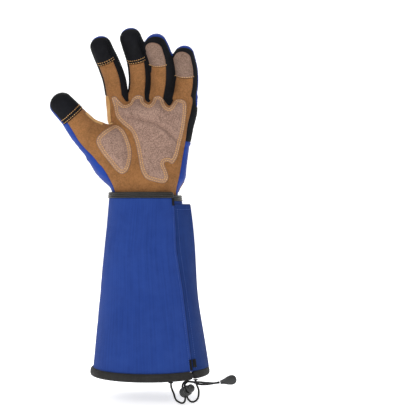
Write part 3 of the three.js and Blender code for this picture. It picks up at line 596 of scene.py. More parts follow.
TAN = Finish(
    "tan leather", 0x7A5330, 0x956539, Surface.SUEDE,
    roughness=0.88, scale=1500.0, relief=0.12, clouds=30.0, sheen=0.08, specular=0.2, seam_tone=0x4E3018,
    fleck=1.8, speckle=0.3)
PALE = Finish(
    "pale leather", 0xB98A52, 0xD5A970, Surface.GRAIN,
    roughness=0.75, scale=1300.0, relief=0.1, clouds=40.0, sheen=0.05, specular=0.3, seam_tone=0x7A5426)
ROSY_SUEDE = Finish(
    "rosy suede", 0x7A5F53, 0xA58778, Surface.SUEDE,
    roughness=0.95, scale=1300.0, relief=0.25, clouds=36.0, sheen=0.12, specular=0.15, edge_tone=0xA08069,
    edge_width=5.0, seam_tone=0x6E5142, fleck=1.35, speckle=0.55)
TIP_SUEDE = Finish(
    "fingertip suede", 0x6A5348, 0x8A7264, Surface.SUEDE,
    roughness=0.95, scale=1300.0, relief=0.25, clouds=36.0, sheen=0.1, specular=0.15, edge_tone=0x8A6E5E,
    edge_width=2.0, seam_tone=0x5C4437, fleck=1.5, speckle=0.5)
BROWN_SUEDE = Finish(
    "brown suede", 0x82583A, 0x9E7350, Surface.SUEDE,
    roughness=0.95, scale=1200.0, relief=0.25, clouds=50.0, sheen=0.12, specular=0.15, edge_tone=0xB58858,
    edge_width=3.0, seam_tone=0x6A4826, fleck=1.6, speckle=0.38)
BLUE_STRETCH = Finish(
    "blue stretch cloth", 0x08338C, 0x0C40A2, Surface.KNIT,
    roughness=0.72, scale=1900.0, relief=0.1, clouds=30.0, sheen=0.12, specular=0.25, seam_tone=0x08246C)
FLAP_CANVAS = Finish(
    "blue canvas of the flap", 0x172F69, 0x1F3A78, Surface.WEAVE,
    roughness=0.9, scale=1450.0, relief=0.1, clouds=16.0, sheen=0.05, specular=0.12)
BLUE_CANVAS = Finish(
    "blue canvas", 0x203C84, 0x284590, Surface.WEAVE,
    roughness=0.88, scale=1450.0, relief=0.1, clouds=16.0, sheen=0.05, specular=0.15)
BLACK_KNIT = Finish(
    "black knit", 0x0B0C10, 0x14151A, Surface.KNIT,
    roughness=0.86, scale=1700.0, relief=0.12, clouds=40.0, sheen=0.04, specular=0.15)
BLACK_GRIP = Finish(
    "black grip leather", 0x08090D, 0x101117, Surface.GRAIN,
    roughness=0.7, scale=1100.0, relief=0.1, clouds=40.0, sheen=0.0, specular=0.14, crease=0.8)
GREY_HEM = Finish(
    "grey hem cloth", 0x252423, 0x31302F, Surface.WEAVE,
    roughness=0.85, scale=1100.0, relief=0.12, clouds=60.0, sheen=0.06, specular=0.2)
GREY_BINDING = Finish(
    "grey binding", 0x171613, 0x27241F, Surface.WEAVE,
    roughness=0.42, scale=1500.0, relief=0.08, clouds=60.0, sheen=0.0, specular=0.4)
BLACK_TAPE = Finish(
    "black tape", 0x0C0C0C, 0x171717, Surface.WEAVE,
    roughness=0.8, scale=1500.0, relief=0.08, clouds=60.0, sheen=0.05, specular=0.2)
BLACK_CORD = Finish(
    "black cord", 0x0E0E0E, 0x1E1E1E, Surface.BRAID,
    roughness=0.6, scale=2600.0, relief=0.2, clouds=300.0, sheen=0.05, specular=0.3)
BLACK_PLASTIC = Finish(
    "black plastic", 0x0C0D0E, 0x151617, Surface.MOULDED,
    roughness=0.33, scale=1500.0, relief=0.012, clouds=80.0, sheen=0.0, specular=0.5, coat=0.2)
TAN_THREAD = Finish(
    "tan thread", 0xC48E4E, 0xE8B878, Surface.MOULDED,
    roughness=0.8, scale=6000.0, relief=0.05, clouds=400.0, sheen=0.1, specular=0.3)
BLUE_THREAD = Finish(
    "blue thread", 0x324C92, 0x4A64AC, Surface.MOULDED,
    roughness=0.8, scale=6000.0, relief=0.05, clouds=400.0, sheen=0.1, specular=0.3)


class Wardrobe:
    """Builds each finish the first time that a piece asks for it."""

    def __init__(self) -> None:
        """Starts with the shared effects and no finishes."""
        self.effects = Effects()
        self.made: dict[str, bpy.types.Material] = {}

    def get(self, finish: Finish) -> bpy.types.Material:
        """The material of a finish."""
        if finish.name not in self.made:
            self.made[finish.name] = finish.build(self.effects)
        return self.made[finish.name]


# Stitches, each kind with the mm from stitch to stitch and the thread's thickness

PAD_SEWING = (2.6, 0.9)
PATCH_SEWING = (2.5, 0.8)
CAP_SEWING = (2.6, 0.75)
CUFF_SEWING = (2.4, 0.45)


class Stitcher:
    """Sews rows of stitches along lines with one Geometry Nodes tree."""

    def __init__(self) -> None:
        """Builds the tree: points along a line, a thread bead on each, then plain geometry."""
        tree = bpy.data.node_groups.new("Stitch row", "GeometryNodeTree")
        sockets = {"Geometry": "Geometry", "Pitch": "Float", "Length": "Float", "Thickness": "Float",
                   "Thread": "Material"}
        for key, kind in sockets.items():
            tree.interface.new_socket(name=key, in_out="INPUT", socket_type="NodeSocket" + kind)
        tree.interface.new_socket(name="Geometry", in_out="OUTPUT", socket_type="NodeSocketGeometry")
        g = Graph(tree)
        into, out = g.add("NodeGroupInput"), g.add("NodeGroupOutput")
        points = g.add("GeometryNodeCurveToPoints", {"Curve": into.outputs["Geometry"],
                                                     "Length": into.outputs["Pitch"]}, mode="LENGTH")
        bead = g.add("GeometryNodeMeshUVSphere", {"Segments": 6, "Rings": 4, "Radius": 0.5})
        size = g.add("ShaderNodeCombineXYZ", {0: into.outputs["Thickness"], 1: into.outputs["Thickness"],
                                              2: into.outputs["Length"]})
        turn = g.add("FunctionNodeAlignRotationToVector", {"Vector": points.outputs["Tangent"]}, axis="Z")
        laid = g.add("GeometryNodeInstanceOnPoints",
                     {"Points": points.outputs["Points"], "Instance": bead.outputs["Mesh"],
                      "Rotation": turn.outputs[0], "Scale": size.outputs[0]})
        real = g.add("GeometryNodeRealizeInstances", {"Geometry": laid.outputs[0]})
        done = g.add("GeometryNodeSetMaterial", {"Geometry": real.outputs[0],
                                                 "Material": into.outputs["Thread"]})
        tree.links.new(done.outputs[0], out.inputs["Geometry"])
        self.tree = tree
        self.sockets = {item.name: item.identifier for item in tree.interface.items_tree
                        if item.in_out == "INPUT"}

    def sew(self, name: str, lines: Sequence[Array], thread: bpy.types.Material, pitch: float,
            thickness: float) -> bpy.types.Object | None:
        """Sews stitches along lines.

        Args:
            name: the name of the new piece.
            lines: open lines of points in mm.
            thread: the thread's material.
            pitch: distance between stitches, in mm.
            thickness: the thread's thickness, in mm.

        Returns:
            The stitches as one plain mesh, or None where there are no lines.
        """
        lines = [line for line in lines if len(line) > 1]
        if not lines:
            return None
        curve = bpy.data.curves.new(name + "_line", "CURVE")
        curve.dimensions = "3D"
        for line in lines:
            spline = curve.splines.new("POLY")
            spline.points.add(len(line) - 1)
            flat = np.column_stack([line * MM, np.ones(len(line))])
            spline.points.foreach_set("co", flat.ravel())
        guide = bpy.data.objects.new(name + "_line", curve)
        bpy.context.scene.collection.objects.link(guide)
        modifier = guide.modifiers.new("stitches", "NODES")
        modifier.node_group = self.tree
        values = {"Pitch": pitch * MM, "Length": pitch * 0.78 * MM, "Thickness": thickness * MM,
                  "Thread": thread}
        for key, value in values.items():
            modifier[self.sockets[key]] = value
        bpy.context.view_layer.update()
        ready = guide.evaluated_get(bpy.context.evaluated_depsgraph_get())
        mesh = bpy.data.meshes.new_from_object(ready)
        guide.modifiers.remove(modifier)
        bpy.data.objects.remove(guide)
        bpy.data.curves.remove(curve)
        mesh.polygons.foreach_set("use_smooth", [True] * len(mesh.polygons))
        row = bpy.data.objects.new(name, mesh)
        bpy.context.scene.collection.objects.link(row)
        return row


# The hand's form

HAND_LENGTH = 184.0
HAND_WIDTH = 104.0
HAND_DEPTH = 50.0
WRIST_X = -6.0
WRIST_Z = 208.0
OPEN_END = 5.0
GATHER_HEIGHT = 37.0
SIDE_SEAM_Y = 3.0
GUSSET_FRONT_Y = -9.5
BLACK_EDGE_UP = 0.325
BLUE_EDGE_UP = 0.6
BASE = 0.2
THUMB_BACK_BASE = 0.08
FAR = 80.0
SHORTEST_ROW = 8.0


def across(share: Array) -> Array:
    """A share of the hand's width as mm from the origin."""
    return WRIST_X + np.asarray(share, float) * HAND_WIDTH


def upward(share: Array) -> Array:
    """A share of the hand's length as mm from the origin."""
    return WRIST_Z + np.asarray(share, float) * HAND_LENGTH


@dataclass(frozen=True)
class Digit:
    """A finger or the thumb.

    Each row is a point of its middle line and the section there: across, up, fore, wide, deep.
    palmar, dorsal and tip are the angles between which its front, back and tip panels lie.
    """

    thickness: float
    rows: tuple[tuple[float, ...], ...]
    palmar: tuple[float, float]
    dorsal: tuple[float, float]
    tip: tuple[float, float]
    cap: float
    cap_end: float = 1.0


DIGITS = {
    "index": Digit(26.0, (
        (-0.3, 0.476, -0.04, 1.0, 1.0), (-0.318, 0.587, 0.0, 1.02, 0.98), (-0.349, 0.709, 0.12, 1.03, 0.96),
        (-0.407, 0.8, 0.27, 1.0, 0.94), (-0.463, 0.868, 0.42, 0.96, 0.9), (-0.52, 0.944, 0.66, 0.9, 0.84),
    ), (-64, 27), (98, 240), (-68, 34), 0.66),
    "middle": Digit(25.6, (
        (-0.092, 0.502, -0.06, 1.0, 1.0), (-0.086, 0.59, -0.02, 1.0, 0.98), (-0.069, 0.712, 0.08, 1.0, 0.96),
        (-0.088, 0.818, 0.24, 0.99, 0.95), (-0.138, 0.908, 0.44, 0.98, 0.92), (-0.203, 1.0, 0.72, 0.92, 0.86),
    ), (-62, 32), (95, 245), (-66, 38), 0.62),
    "ring": Digit(27.0, (
        (0.125, 0.484, -0.06, 1.0, 1.0), (0.148, 0.565, -0.02, 1.0, 0.98), (0.186, 0.7, 0.1, 1.0, 0.96),
        (0.176, 0.812, 0.3, 0.99, 0.95), (0.131, 0.885, 0.48, 0.97, 0.92), (0.066, 0.95, 0.72, 0.9, 0.86),
    ), (-76, 14), (62, 238), (-92, 15), 0.6, 0.94),
    "little": Digit(26.0, (
        (0.345, 0.44, -0.02, 1.0, 1.0), (0.4, 0.54, 0.0, 1.02, 1.0), (0.452, 0.676, 0.1, 1.0, 0.98),
        (0.45, 0.766, 0.24, 0.97, 0.95), (0.426, 0.828, 0.38, 0.93, 0.9), (0.396, 0.888, 0.56, 0.86, 0.84),
    ), (-76, 30), (74, 238), (-84, 32), 0.54, 0.93),
    "thumb": Digit(28.0, (
        (-0.15, 0.11, 0.04, 1.0, 1.2), (-0.345, 0.17, 0.12, 1.5, 1.5), (-0.465, 0.293, 0.26, 1.78, 1.35),
        (-0.66, 0.384, 0.38, 1.25, 1.1), (-0.798, 0.475, 0.46, 1.04, 0.96), (-1.01, 0.602, 0.6, 0.9, 0.84),
    ), (-60, 98), (98, 300), (-66, 98), 0.79),
}

# up, left, right, fore, aft, square
PALM_ROWS = np.array([
    (-0.02, 0.37, 0.35, 0.54, 0.57, 1.0), (0.035, 0.385, 0.372, 0.54, 0.57, 1.0),
    (0.09, 0.43, 0.43, 0.57, 0.54, 0.93), (0.15, 0.43, 0.447, 0.53, 0.5, 0.88),
    (0.2, 0.4, 0.458, 0.5, 0.46, 0.86), (0.25, 0.39, 0.468, 0.48, 0.45, 0.86),
    (0.4, 0.4, 0.51, 0.43, 0.44, 0.86), (0.53, 0.41, 0.56, 0.39, 0.41, 0.86),
    (0.6, 0.39, 0.555, 0.18, 0.18, 0.86),
])

# Flat outlines, as across and up shares
OUTLINES = {
    "palm_leather": [
        (0.36, -0.06), (0.335, 0.003), (0.376, 0.127), (0.405, 0.223), (0.438, 0.325), (0.462, 0.431),
        (0.499, 0.518), (0.51, 0.599), (0.4, 0.62), (0.318, 0.6), (0.255, 0.545), (0.175, 0.597),
        (0.08, 0.605), (0.025, 0.568), (-0.043, 0.609), (-0.153, 0.618), (-0.208, 0.572),
        (-0.29, 0.626), (-0.415, 0.62), (-0.6, 0.5), (-0.64, 0.329), (-0.595, 0.24),
        (-0.485, 0.166), (-0.415, 0.104), (-0.345, 0.006), (-0.36, -0.06)],
    "thumb_front": [
        (-1.1, 0.66), (-0.93, 0.49), (-0.845, 0.426), (-0.776, 0.364), (-0.732, 0.321), (-0.658, 0.27),
        (-0.571, 0.222), (-0.485, 0.166), (-0.3, 0.15), (-0.2, 0.3), (-0.3, 0.5), (-0.6, 0.6),
        (-0.9, 0.75)],
    "palm_pad": [
        (-0.374, 0.597), (-0.336, 0.603), (-0.285, 0.572), (-0.23, 0.546), (-0.176, 0.559),
        (-0.146, 0.594), (-0.085, 0.613), (-0.031, 0.599), (-0.016, 0.564), (0.03, 0.547),
        (0.068, 0.569), (0.087, 0.599), (0.145, 0.608), (0.191, 0.586), (0.206, 0.552), (0.245, 0.53),
        (0.283, 0.552), (0.322, 0.58), (0.383, 0.587), (0.434, 0.57), (0.44, 0.518), (0.414, 0.396),
        (0.375, 0.309), (0.335, 0.22), (0.283, 0.181), (0.235, 0.194), (0.198, 0.185), (0.229, 0.135),
        (0.24, 0.092), (0.199, 0.064), (0.099, 0.07), (-0.008, 0.092), (-0.054, 0.135),
        (-0.085, 0.222), (-0.115, 0.308), (-0.161, 0.377), (-0.252, 0.425), (-0.321, 0.472),
        (-0.347, 0.532)],
    "thenar_pad": [
        (-0.41, 0.4), (-0.327, 0.421), (-0.251, 0.396), (-0.19, 0.332), (-0.157, 0.263),
        (-0.167, 0.185), (-0.205, 0.133), (-0.259, 0.118), (-0.312, 0.133), (-0.403, 0.193),
        (-0.493, 0.262), (-0.536, 0.313), (-0.516, 0.348)],
    "palm_gusset": [
        (-0.345, 0.595), (-0.35, 0.5), (-0.362, 0.43), (-0.39, 0.37), (-0.45, 0.325), (-0.56, 0.315),
        (-0.62, 0.42), (-0.58, 0.595)],
    "back_stretch": [
        (0.62, -0.06), (0.62, 0.5), (0.46, 0.6), (0.36, 0.6), (0.255, 0.53), (0.175, 0.597),
        (0.08, 0.605), (0.025, 0.56), (-0.043, 0.609), (-0.153, 0.618), (-0.208, 0.565),
        (-0.29, 0.626), (-0.36, 0.62), (-0.7, 0.5), (-0.8, 0.3), (-0.7, -0.06)],
    "knuckle_patch": [
        (0.452, 0.34), (0.5, 0.46), (0.535, 0.56), (0.505, 0.6), (0.35, 0.59), (0.325, 0.53),
        (0.275, 0.49), (0.235, 0.5), (0.215, 0.55), (0.195, 0.62), (0.085, 0.628), (0.055, 0.56),
        (0.02, 0.515), (-0.02, 0.53), (-0.035, 0.58), (-0.055, 0.635), (-0.165, 0.638), (-0.185, 0.57),
        (-0.215, 0.53), (-0.255, 0.54), (-0.265, 0.6), (-0.285, 0.635), (-0.395, 0.63),
        (-0.38, 0.56), (-0.27, 0.355)],
    "wrist_tab": [
        (0.37, 0.012), (0.42, 0.1), (0.4, 0.12), (0.1, 0.128), (0.04, 0.118), (-0.03, 0.085),
        (-0.14, 0.012)],
}


# Angles and shares of length on the thumb between which the crotch's paler leather lies
THUMB_GUSSET = (((58, 185), 0.52, 0.75), ((96, 178), 0.4, 0.56))

# The same on the fingers' backs, for the pieces that are sewn on
BACK_STRIPS = {
    "index_patch": ("index", (140, 232), 0.4, 0.74),
    "middle_strip": ("middle", (136, 212), 0.4, 0.93),
    "ring_strip": ("ring", (125, 200), 0.4, 0.93),
    "little_strip": ("little", (130, 205), 0.4, 0.92),
}

# Where the palm folds when the hand closes, as across and up in mm
PALM_FOLD = np.column_stack([
    across([-0.279, -0.17, -0.051, 0.079, 0.188, 0.286, 0.373]),
    upward([0.487, 0.469, 0.457, 0.439, 0.403, 0.354, 0.311]),
])


def outline_mm(name: str) -> Array:
    """An outline of the table in mm, with its corners rounded off."""
    points = np.array([(across(x), upward(z)) for x, z in OUTLINES[name]])
    return centripetal(points, np.linspace(0, 1, 4 * len(points), endpoint=False), closed=True)


class DigitLine:
    """The middle line of a digit with its sections, read from the tables."""

    STATIONS = 60

    def __init__(self, digit: Digit) -> None:
        """Places the stations from the root to where the tip's dome begins."""
        self.digit = digit
        rows = np.array(digit.rows)
        points = np.column_stack([across(rows[:, 0]), -rows[:, 2] * HAND_DEPTH, upward(rows[:, 1])])
        fine = centripetal(points, np.linspace(0, 1, 200))
        self.length = float(np.linalg.norm(np.diff(fine, axis=0), axis=1).sum())
        self.dome_length = 0.46 * digit.thickness * rows[-1, 3]
        self.share = np.linspace(0, 1 - self.dome_length / self.length, self.STATIONS)
        self.centre = centripetal(points, self.share)
        ahead = centripetal(points, self.share + 0.004) - centripetal(points, self.share - 0.004)
        self.along = unit(ahead)
        self.side = unit(np.cross(AFT, self.along))
        self.front = unit(np.cross(self.side, self.along))
        place = self.share * (len(rows) - 1)
        self.wide, self.deep = (np.interp(place, np.arange(len(rows)), rows[:, k]) * digit.thickness / 2
                                for k in (3, 4))

    def locate(self, points: Array) -> Array:
        """Where points are on this digit.

        Args:
            points: places in mm.

        Returns:
            Four columns: sideways and frontal shares of its half sizes, the share of its length,
            and the distance from its surface in mm, negative inside.
        """
        best = np.full(len(points), 1e18)
        nearest = np.zeros(len(points), int)
        for i, centre in enumerate(self.centre):
            away = ((points - centre) ** 2).sum(1)
            closer = away < best
            best[closer] = away[closer]
            nearest[closer] = i
        offset = points - self.centre[nearest]
        wide, deep = self.wide[nearest], self.deep[nearest]
        sideways = (offset * self.side[nearest]).sum(1) / wide
        frontal = (offset * self.front[nearest]).sum(1) / deep
        along = (offset * self.along[nearest]).sum(1)
        at_end = (nearest == self.STATIONS - 1) & (along > 0)
        at_root = (nearest == 0) & (along < 0)
        beyond = np.where(at_end, along / self.dome_length, 0.0) + np.where(at_root, along / deep, 0.0)
        reach = np.sqrt(sideways ** 2 + frontal ** 2 + beyond ** 2)
        share = self.share[nearest] + along / self.length
        return np.column_stack([sideways, frontal, share, (reach - 1) * np.sqrt(wide * deep)])

    def at(self, share: float, angle: float, reach: float = 1.0) -> Array:
        """The point of its surface at a share of its length and an angle from the front."""
        i = int(np.argmin(abs(self.share - share)))
        a = math.radians(angle)
        return (self.centre[i] + self.side[i] * self.wide[i] * math.sin(a) * reach
                + self.front[i] * self.deep[i] * math.cos(a) * reach)


@dataclass
class HandForm:
    """The hand's outer surface, worked out on a grid and taken off it as one mesh."""

    pitch: float = 1.5
    low: tuple[float, float, float] = (-126.0, -56.0, WRIST_Z - OPEN_END)
    high: tuple[float, float, float] = (62.0, 38.0, 400.0)
    finger_fillet: float = 4.5
    thumb_fillet: float = 9.0
    pressed_fillet: float = 5.0
    free_fillet: float = 0.01

    def build(self, lines: dict[str, DigitLine]) -> tuple[Array, Array]:
        """The surface as points and four-sided faces."""
        axes = [np.arange(a, b, self.pitch) for a, b in zip(self.low, self.high)]
        palm = self._palm(*axes)
        gap = palm.copy()
        for name, line in lines.items():
            reach = line.wide.max() + 12.0
            window = []
            for k, axis in enumerate(axes):
                start, stop = line.centre[:, k].min() - reach, line.centre[:, k].max() + reach
                window.append(slice(np.searchsorted(axis, start), np.searchsorted(axis, stop)))
            window = tuple(window)
            grid = np.meshgrid(*(axis[w] for axis, w in zip(axes, window)), indexing="ij")
            own = line.locate(np.stack([g.ravel() for g in grid], 1))[:, 3].reshape(grid[0].shape)
            fillet = self.thumb_fillet if name == "thumb" else self.finger_fillet
            rooted = melt(palm[window], own, fillet)
            pressed = self.pressed_fillet if name in ("ring", "little") else self.free_fillet
            gap[window] = melt(gap[window], rooted, pressed)
        return self._surface(gap)

    def _palm(self, x: Array, y: Array, z: Array) -> Array:
        """Distance of grid points to the palm's form."""
        up = (z - WRIST_Z) / HAND_LENGTH
        left, right, fore, aft, square = (smooth_rows(up, PALM_ROWS[:, 0], PALM_ROWS[:, k])[None, None]
                                          for k in range(1, 6))
        x, y = (x - WRIST_X)[:, None, None], y[None, :, None]
        half_x = np.where(x > 0, right, left) * HAND_WIDTH
        half_y = np.where(y > 0, aft, fore) * HAND_DEPTH
        power = 2.0 / square
        reach = ((abs(x) / half_x) ** power + (abs(y) / half_y) ** power) ** (1.0 / power)
        above = np.maximum(z - upward(PALM_ROWS[-1, 0]), 0.0)[None, None] / 6.0
        reach = np.sqrt(reach ** 2 + above ** 2)
        slope = np.sqrt(sum(g ** 2 for g in np.gradient(reach, self.pitch)))
        return np.clip((reach - 1.0) / np.maximum(slope, 1e-3), -40.0, 60.0)

    def _surface(self, gap: Array) -> tuple[Array, Array]:
        """Takes the zero surface off a grid as one point in each cell that it passes."""
        inside = gap < 0
        shape = [n - 1 for n in gap.shape]
        corners = [(i, j, k) for i in (0, 1) for j in (0, 1) for k in (0, 1)]

        def corner(values: Array, c: tuple[int, ...]) -> Array:
            """The grid's values at one corner of each cell."""
            return values[tuple(slice(o, o + n) for o, n in zip(c, shape))]

        count = sum(corner(inside, c).astype(np.int8) for c in corners)
        cells = np.argwhere((count > 0) & (count < 8))
        number = np.full(shape, -1)
        number[tuple(cells.T)] = np.arange(len(cells))
        total, hits = np.zeros((len(cells), 3)), np.zeros(len(cells))
        for a in corners:
            for axis in range(3):
                if a[axis]:
                    continue
                b = tuple(1 if k == axis else v for k, v in enumerate(a))
                ga, gb = (gap[tuple((cells + c).T)] for c in (a, b))
                crossed = (ga < 0) != (gb < 0)
                t = ga[crossed] / (ga[crossed] - gb[crossed])
                spot = np.tile(np.array(a, float), (len(t), 1))
                spot[:, axis] += t
                total[crossed] += spot
                hits[crossed] += 1
        points = np.array(self.low) + (cells + total / hits[:, None]) * self.pitch
        faces = []
        for axis in range(3):
            one, two = (axis + 1) % 3, (axis + 2) % 3
            first = [slice(None)] * 3
            second = [slice(None)] * 3
            first[axis], second[axis] = slice(0, -1), slice(1, None)
            here, there = inside[tuple(first)], inside[tuple(second)]
            edges = np.argwhere(here != there)
            keep = np.all([(edges[:, k] > 0) & (edges[:, k] < shape[k]) for k in (one, two)], axis=0)
            edges = edges[keep]
            out = here[tuple(edges.T)]
            ring = []
            for d1, d2 in ((-1, -1), (0, -1), (0, 0), (-1, 0)):
                cell = edges.copy()
                cell[:, one] += d1
                cell[:, two] += d2
                ring.append(number[tuple(cell.T)])
            quads = np.stack(ring, 1)
            quads[~out] = quads[~out][:, ::-1]
            faces.append(quads)
        faces = np.concatenate(faces)
        return points, faces[(faces >= 0).all(1)]


def refined(points: Array, faces: Array) -> tuple[Array, Array]:
    """One round of smooth subdivision of a mesh, done by Blender and read back."""
    rough = Patchwork(points, faces).to_object("rough", None)
    rough.modifiers.new("smooth", "SUBSURF").levels = 1
    ready = rough.evaluated_get(bpy.context.evaluated_depsgraph_get())
    mesh = bpy.data.meshes.new_from_object(ready)
    fine = np.empty(len(mesh.vertices) * 3)
    mesh.vertices.foreach_get("co", fine)
    corners = np.empty(len(mesh.loops), np.int32)
    mesh.loops.foreach_get("vertex_index", corners)
    old = rough.data
    bpy.data.objects.remove(rough)
    bpy.data.meshes.remove(old)
    bpy.data.meshes.remove(mesh)
    return fine.reshape(-1, 3) / MM, corners.reshape(-1, 4).astype(np.int64)


def point_normals(points: Array, tris: Array) -> Array:
    """The outward direction at each point of a mesh of triangles."""
    a, b, c = (points[tris[:, k]] for k in range(3))
    turned = np.cross(b - a, c - a)
    total = np.zeros_like(points)
    for k in range(3):
        np.add.at(total, tris[:, k], turned)
    return unit(total)


def islands(tris: Array, count: int) -> Array:
    """A number for each triangle, the same for all that hang together by their points."""
    root = np.arange(count)
    one = np.concatenate([tris[:, 0], tris[:, 1]])
    two = np.concatenate([tris[:, 1], tris[:, 2]])
    while True:
        low = np.minimum(root[one], root[two])
        fresh = root.copy()
        np.minimum.at(fresh, one, low)
        np.minimum.at(fresh, two, low)
        fresh = fresh[fresh]
        if (fresh == root).all():
            return root[tris[:, 0]]
        root = fresh


def areas(points: Array, tris: Array) -> Array:
    """The area of each triangle in square mm."""
    a, b, c = (points[tris[:, k]] for k in range(3))
    return np.linalg.norm(np.cross(b - a, c - a), axis=1) / 2


def parts(points: Array, tris: Array) -> tuple[Array, Array]:
    """For each triangle the number of the part that it hangs together with, and each part's area."""
    group = islands(tris, len(points))
    return group, np.bincount(group, areas(points, tris))


class Skin:
    """The hand's surface as triangles, with what its seams are cut by at each point."""

    def __init__(self, points: Array, quads: Array, lines: dict[str, DigitLine]) -> None:
        """Keeps the mesh and finds each point's place on every digit."""
        self.tris = np.concatenate([quads[:, (0, 1, 2)], quads[:, (0, 2, 3)]])
        normals = point_normals(points, self.tris)
        self.names = list(lines)
        self.data = np.column_stack([points, normals] + [line.locate(points) for line in lines.values()])
        self.lines = lines
        self.label = np.zeros(len(self.tris), int)

    @property
    def points(self) -> Array:
        """The points in mm."""
        return self.data[:, :3]

    @property
    def normals(self) -> Array:
        """The outward direction at each point."""
        return unit(self.data[:, 3:6])

    def place(self, name: str) -> Array:
        """The points' places on a digit."""
        start = 6 + 4 * self.names.index(name)
        return self.data[:, start:start + 4]

    def sector(self, name: str, angles: tuple[float, float], start: float, end: float,
               rounding: float = 0.0) -> Array:
        """Distance to the part of a digit between two angles and two shares, with round corners."""
        sideways, frontal, share, gap = self.place(name).T
        line = self.lines[name]
        middle, half = sum(angles) / 2, (angles[1] - angles[0]) / 2
        angle = np.degrees(np.arctan2(sideways, frontal))
        off = abs((angle - middle + 180.0) % 360.0 - 180.0) - half
        round_gap = off * math.pi / 180.0 * line.wide.mean()
        reach = np.maximum(start - share, share - end if end < 1 else -1.0) * line.length
        others = np.min([self.place(n)[:, 3] for n in self.names if n != name], axis=0)
        if rounding:
            round_gap = -melt(-round_gap, -reach, rounding)
        return np.max([round_gap, reach, gap - others, gap - 0.28 * line.wide.mean()], axis=0)

    def flat(self, outline: str, near: float, far: float) -> Array:
        """Distance to an outline's column between two depths, negative inside."""
        x, y, z = self.points.T
        depth = np.maximum(near - y, y - far)
        gap = np.full(len(x), 9.0)
        close = depth < 6.0
        gap[close] = outline_gap(x[close], z[close], outline_mm(outline))
        return np.maximum(gap, depth)

    def cut(self, value: Array, where: Array) -> Array:
        """Splits triangles along the line where a value is zero.

        Args:
            value: one number for each point.
            where: which triangles may be split.

        Returns:
            For each triangle, whether it is on the negative side.
        """
        value = np.where(abs(value) < 0.02, 0.02, value)
        below = value[self.tris] < 0
        count = below.sum(1)
        crossing = where & (count > 0) & (count < 3)
        tris, sides = self.tris[crossing], below[crossing]
        lone = np.where(count[crossing] == 1, sides.argmax(1), sides.argmin(1))
        row = np.arange(len(tris))
        a, b, c = (tris[row, (lone + k) % 3] for k in range(3))
        total = len(self.data)
        ends = np.sort(np.stack([np.concatenate([a, a]), np.concatenate([b, c])], 1), axis=1)
        unique, back = np.unique(ends[:, 0] * total + ends[:, 1], return_inverse=True)
        low, high = unique // total, unique % total
        t = (value[low] / (value[low] - value[high]))[:, None]
        self.data = np.vstack([self.data, self.data[low] * (1 - t) + self.data[high] * t])
        value = np.append(value, np.zeros(len(unique)))
        p, q = total + back[:len(tris)], total + back[len(tris):]
        fresh = np.concatenate([np.stack(s, 1) for s in ((a, p, q), (p, b, c), (p, c, q))])
        self.tris = np.concatenate([self.tris[~crossing], fresh])
        self.label = np.concatenate([self.label[~crossing], np.tile(self.label[crossing], 3)])
        return value[self.tris].min(1) < 0

    def claim(self, number: int, value: Array) -> None:
        """Gives the largest unclaimed part on the negative side of a value to a panel."""
        inside = self.cut(value, self.label == 0) & (self.label == 0)
        chosen = np.flatnonzero(inside)
        group, sizes = parts(self.points, self.tris[chosen])
        self.label[chosen[group == sizes.argmax()]] = number

    def share_rest(self, numbers: Sequence[int]) -> None:
        """Makes the largest unclaimed parts panels, from -X to +X, and gives the rest to neighbours."""
        chosen = np.flatnonzero(self.label == 0)
        group, sizes = parts(self.points, self.tris[chosen])
        best = np.argsort(sizes)[::-1][:len(numbers)]
        middles = [self.points[self.tris[chosen[group == g]]].mean((0, 1))[0] for g in best]
        for number, g in zip(numbers, best[np.argsort(middles)]):
            self.label[chosen[group == g]] = number
        centres = self.points[self.tris].mean(1)
        taken = np.flatnonzero(self.label > 0)
        tree = kdtree.KDTree(len(taken))
        for i in taken:
            tree.insert(centres[i], int(i))
        tree.balance()
        left = np.flatnonzero(self.label == 0)
        for g in np.unique(group[np.isin(chosen, left)]):
            part = chosen[group == g]
            middle = centres[part].mean(0)
            near = min(part, key=lambda i: ((centres[i] - middle) ** 2).sum())
            self.label[part] = self.label[tree.find(centres[near])[1]]


def edge_points(tris: Array) -> Array:
    """The points on the open edges of a mesh of triangles."""
    ends = np.sort(np.concatenate([tris[:, (0, 1)], tris[:, (1, 2)], tris[:, (2, 0)]]), axis=1)
    pairs, count = np.unique(ends, axis=0, return_counts=True)
    return np.unique(pairs[count == 1])


def distance_to(points: Array, targets: Array) -> Array:
    """The distance of each point to the nearest target."""
    tree = kdtree.KDTree(len(targets))
    for i, target in enumerate(targets):
        tree.insert(target, i)
    tree.balance()
    return np.array([tree.find(p)[2] for p in points])


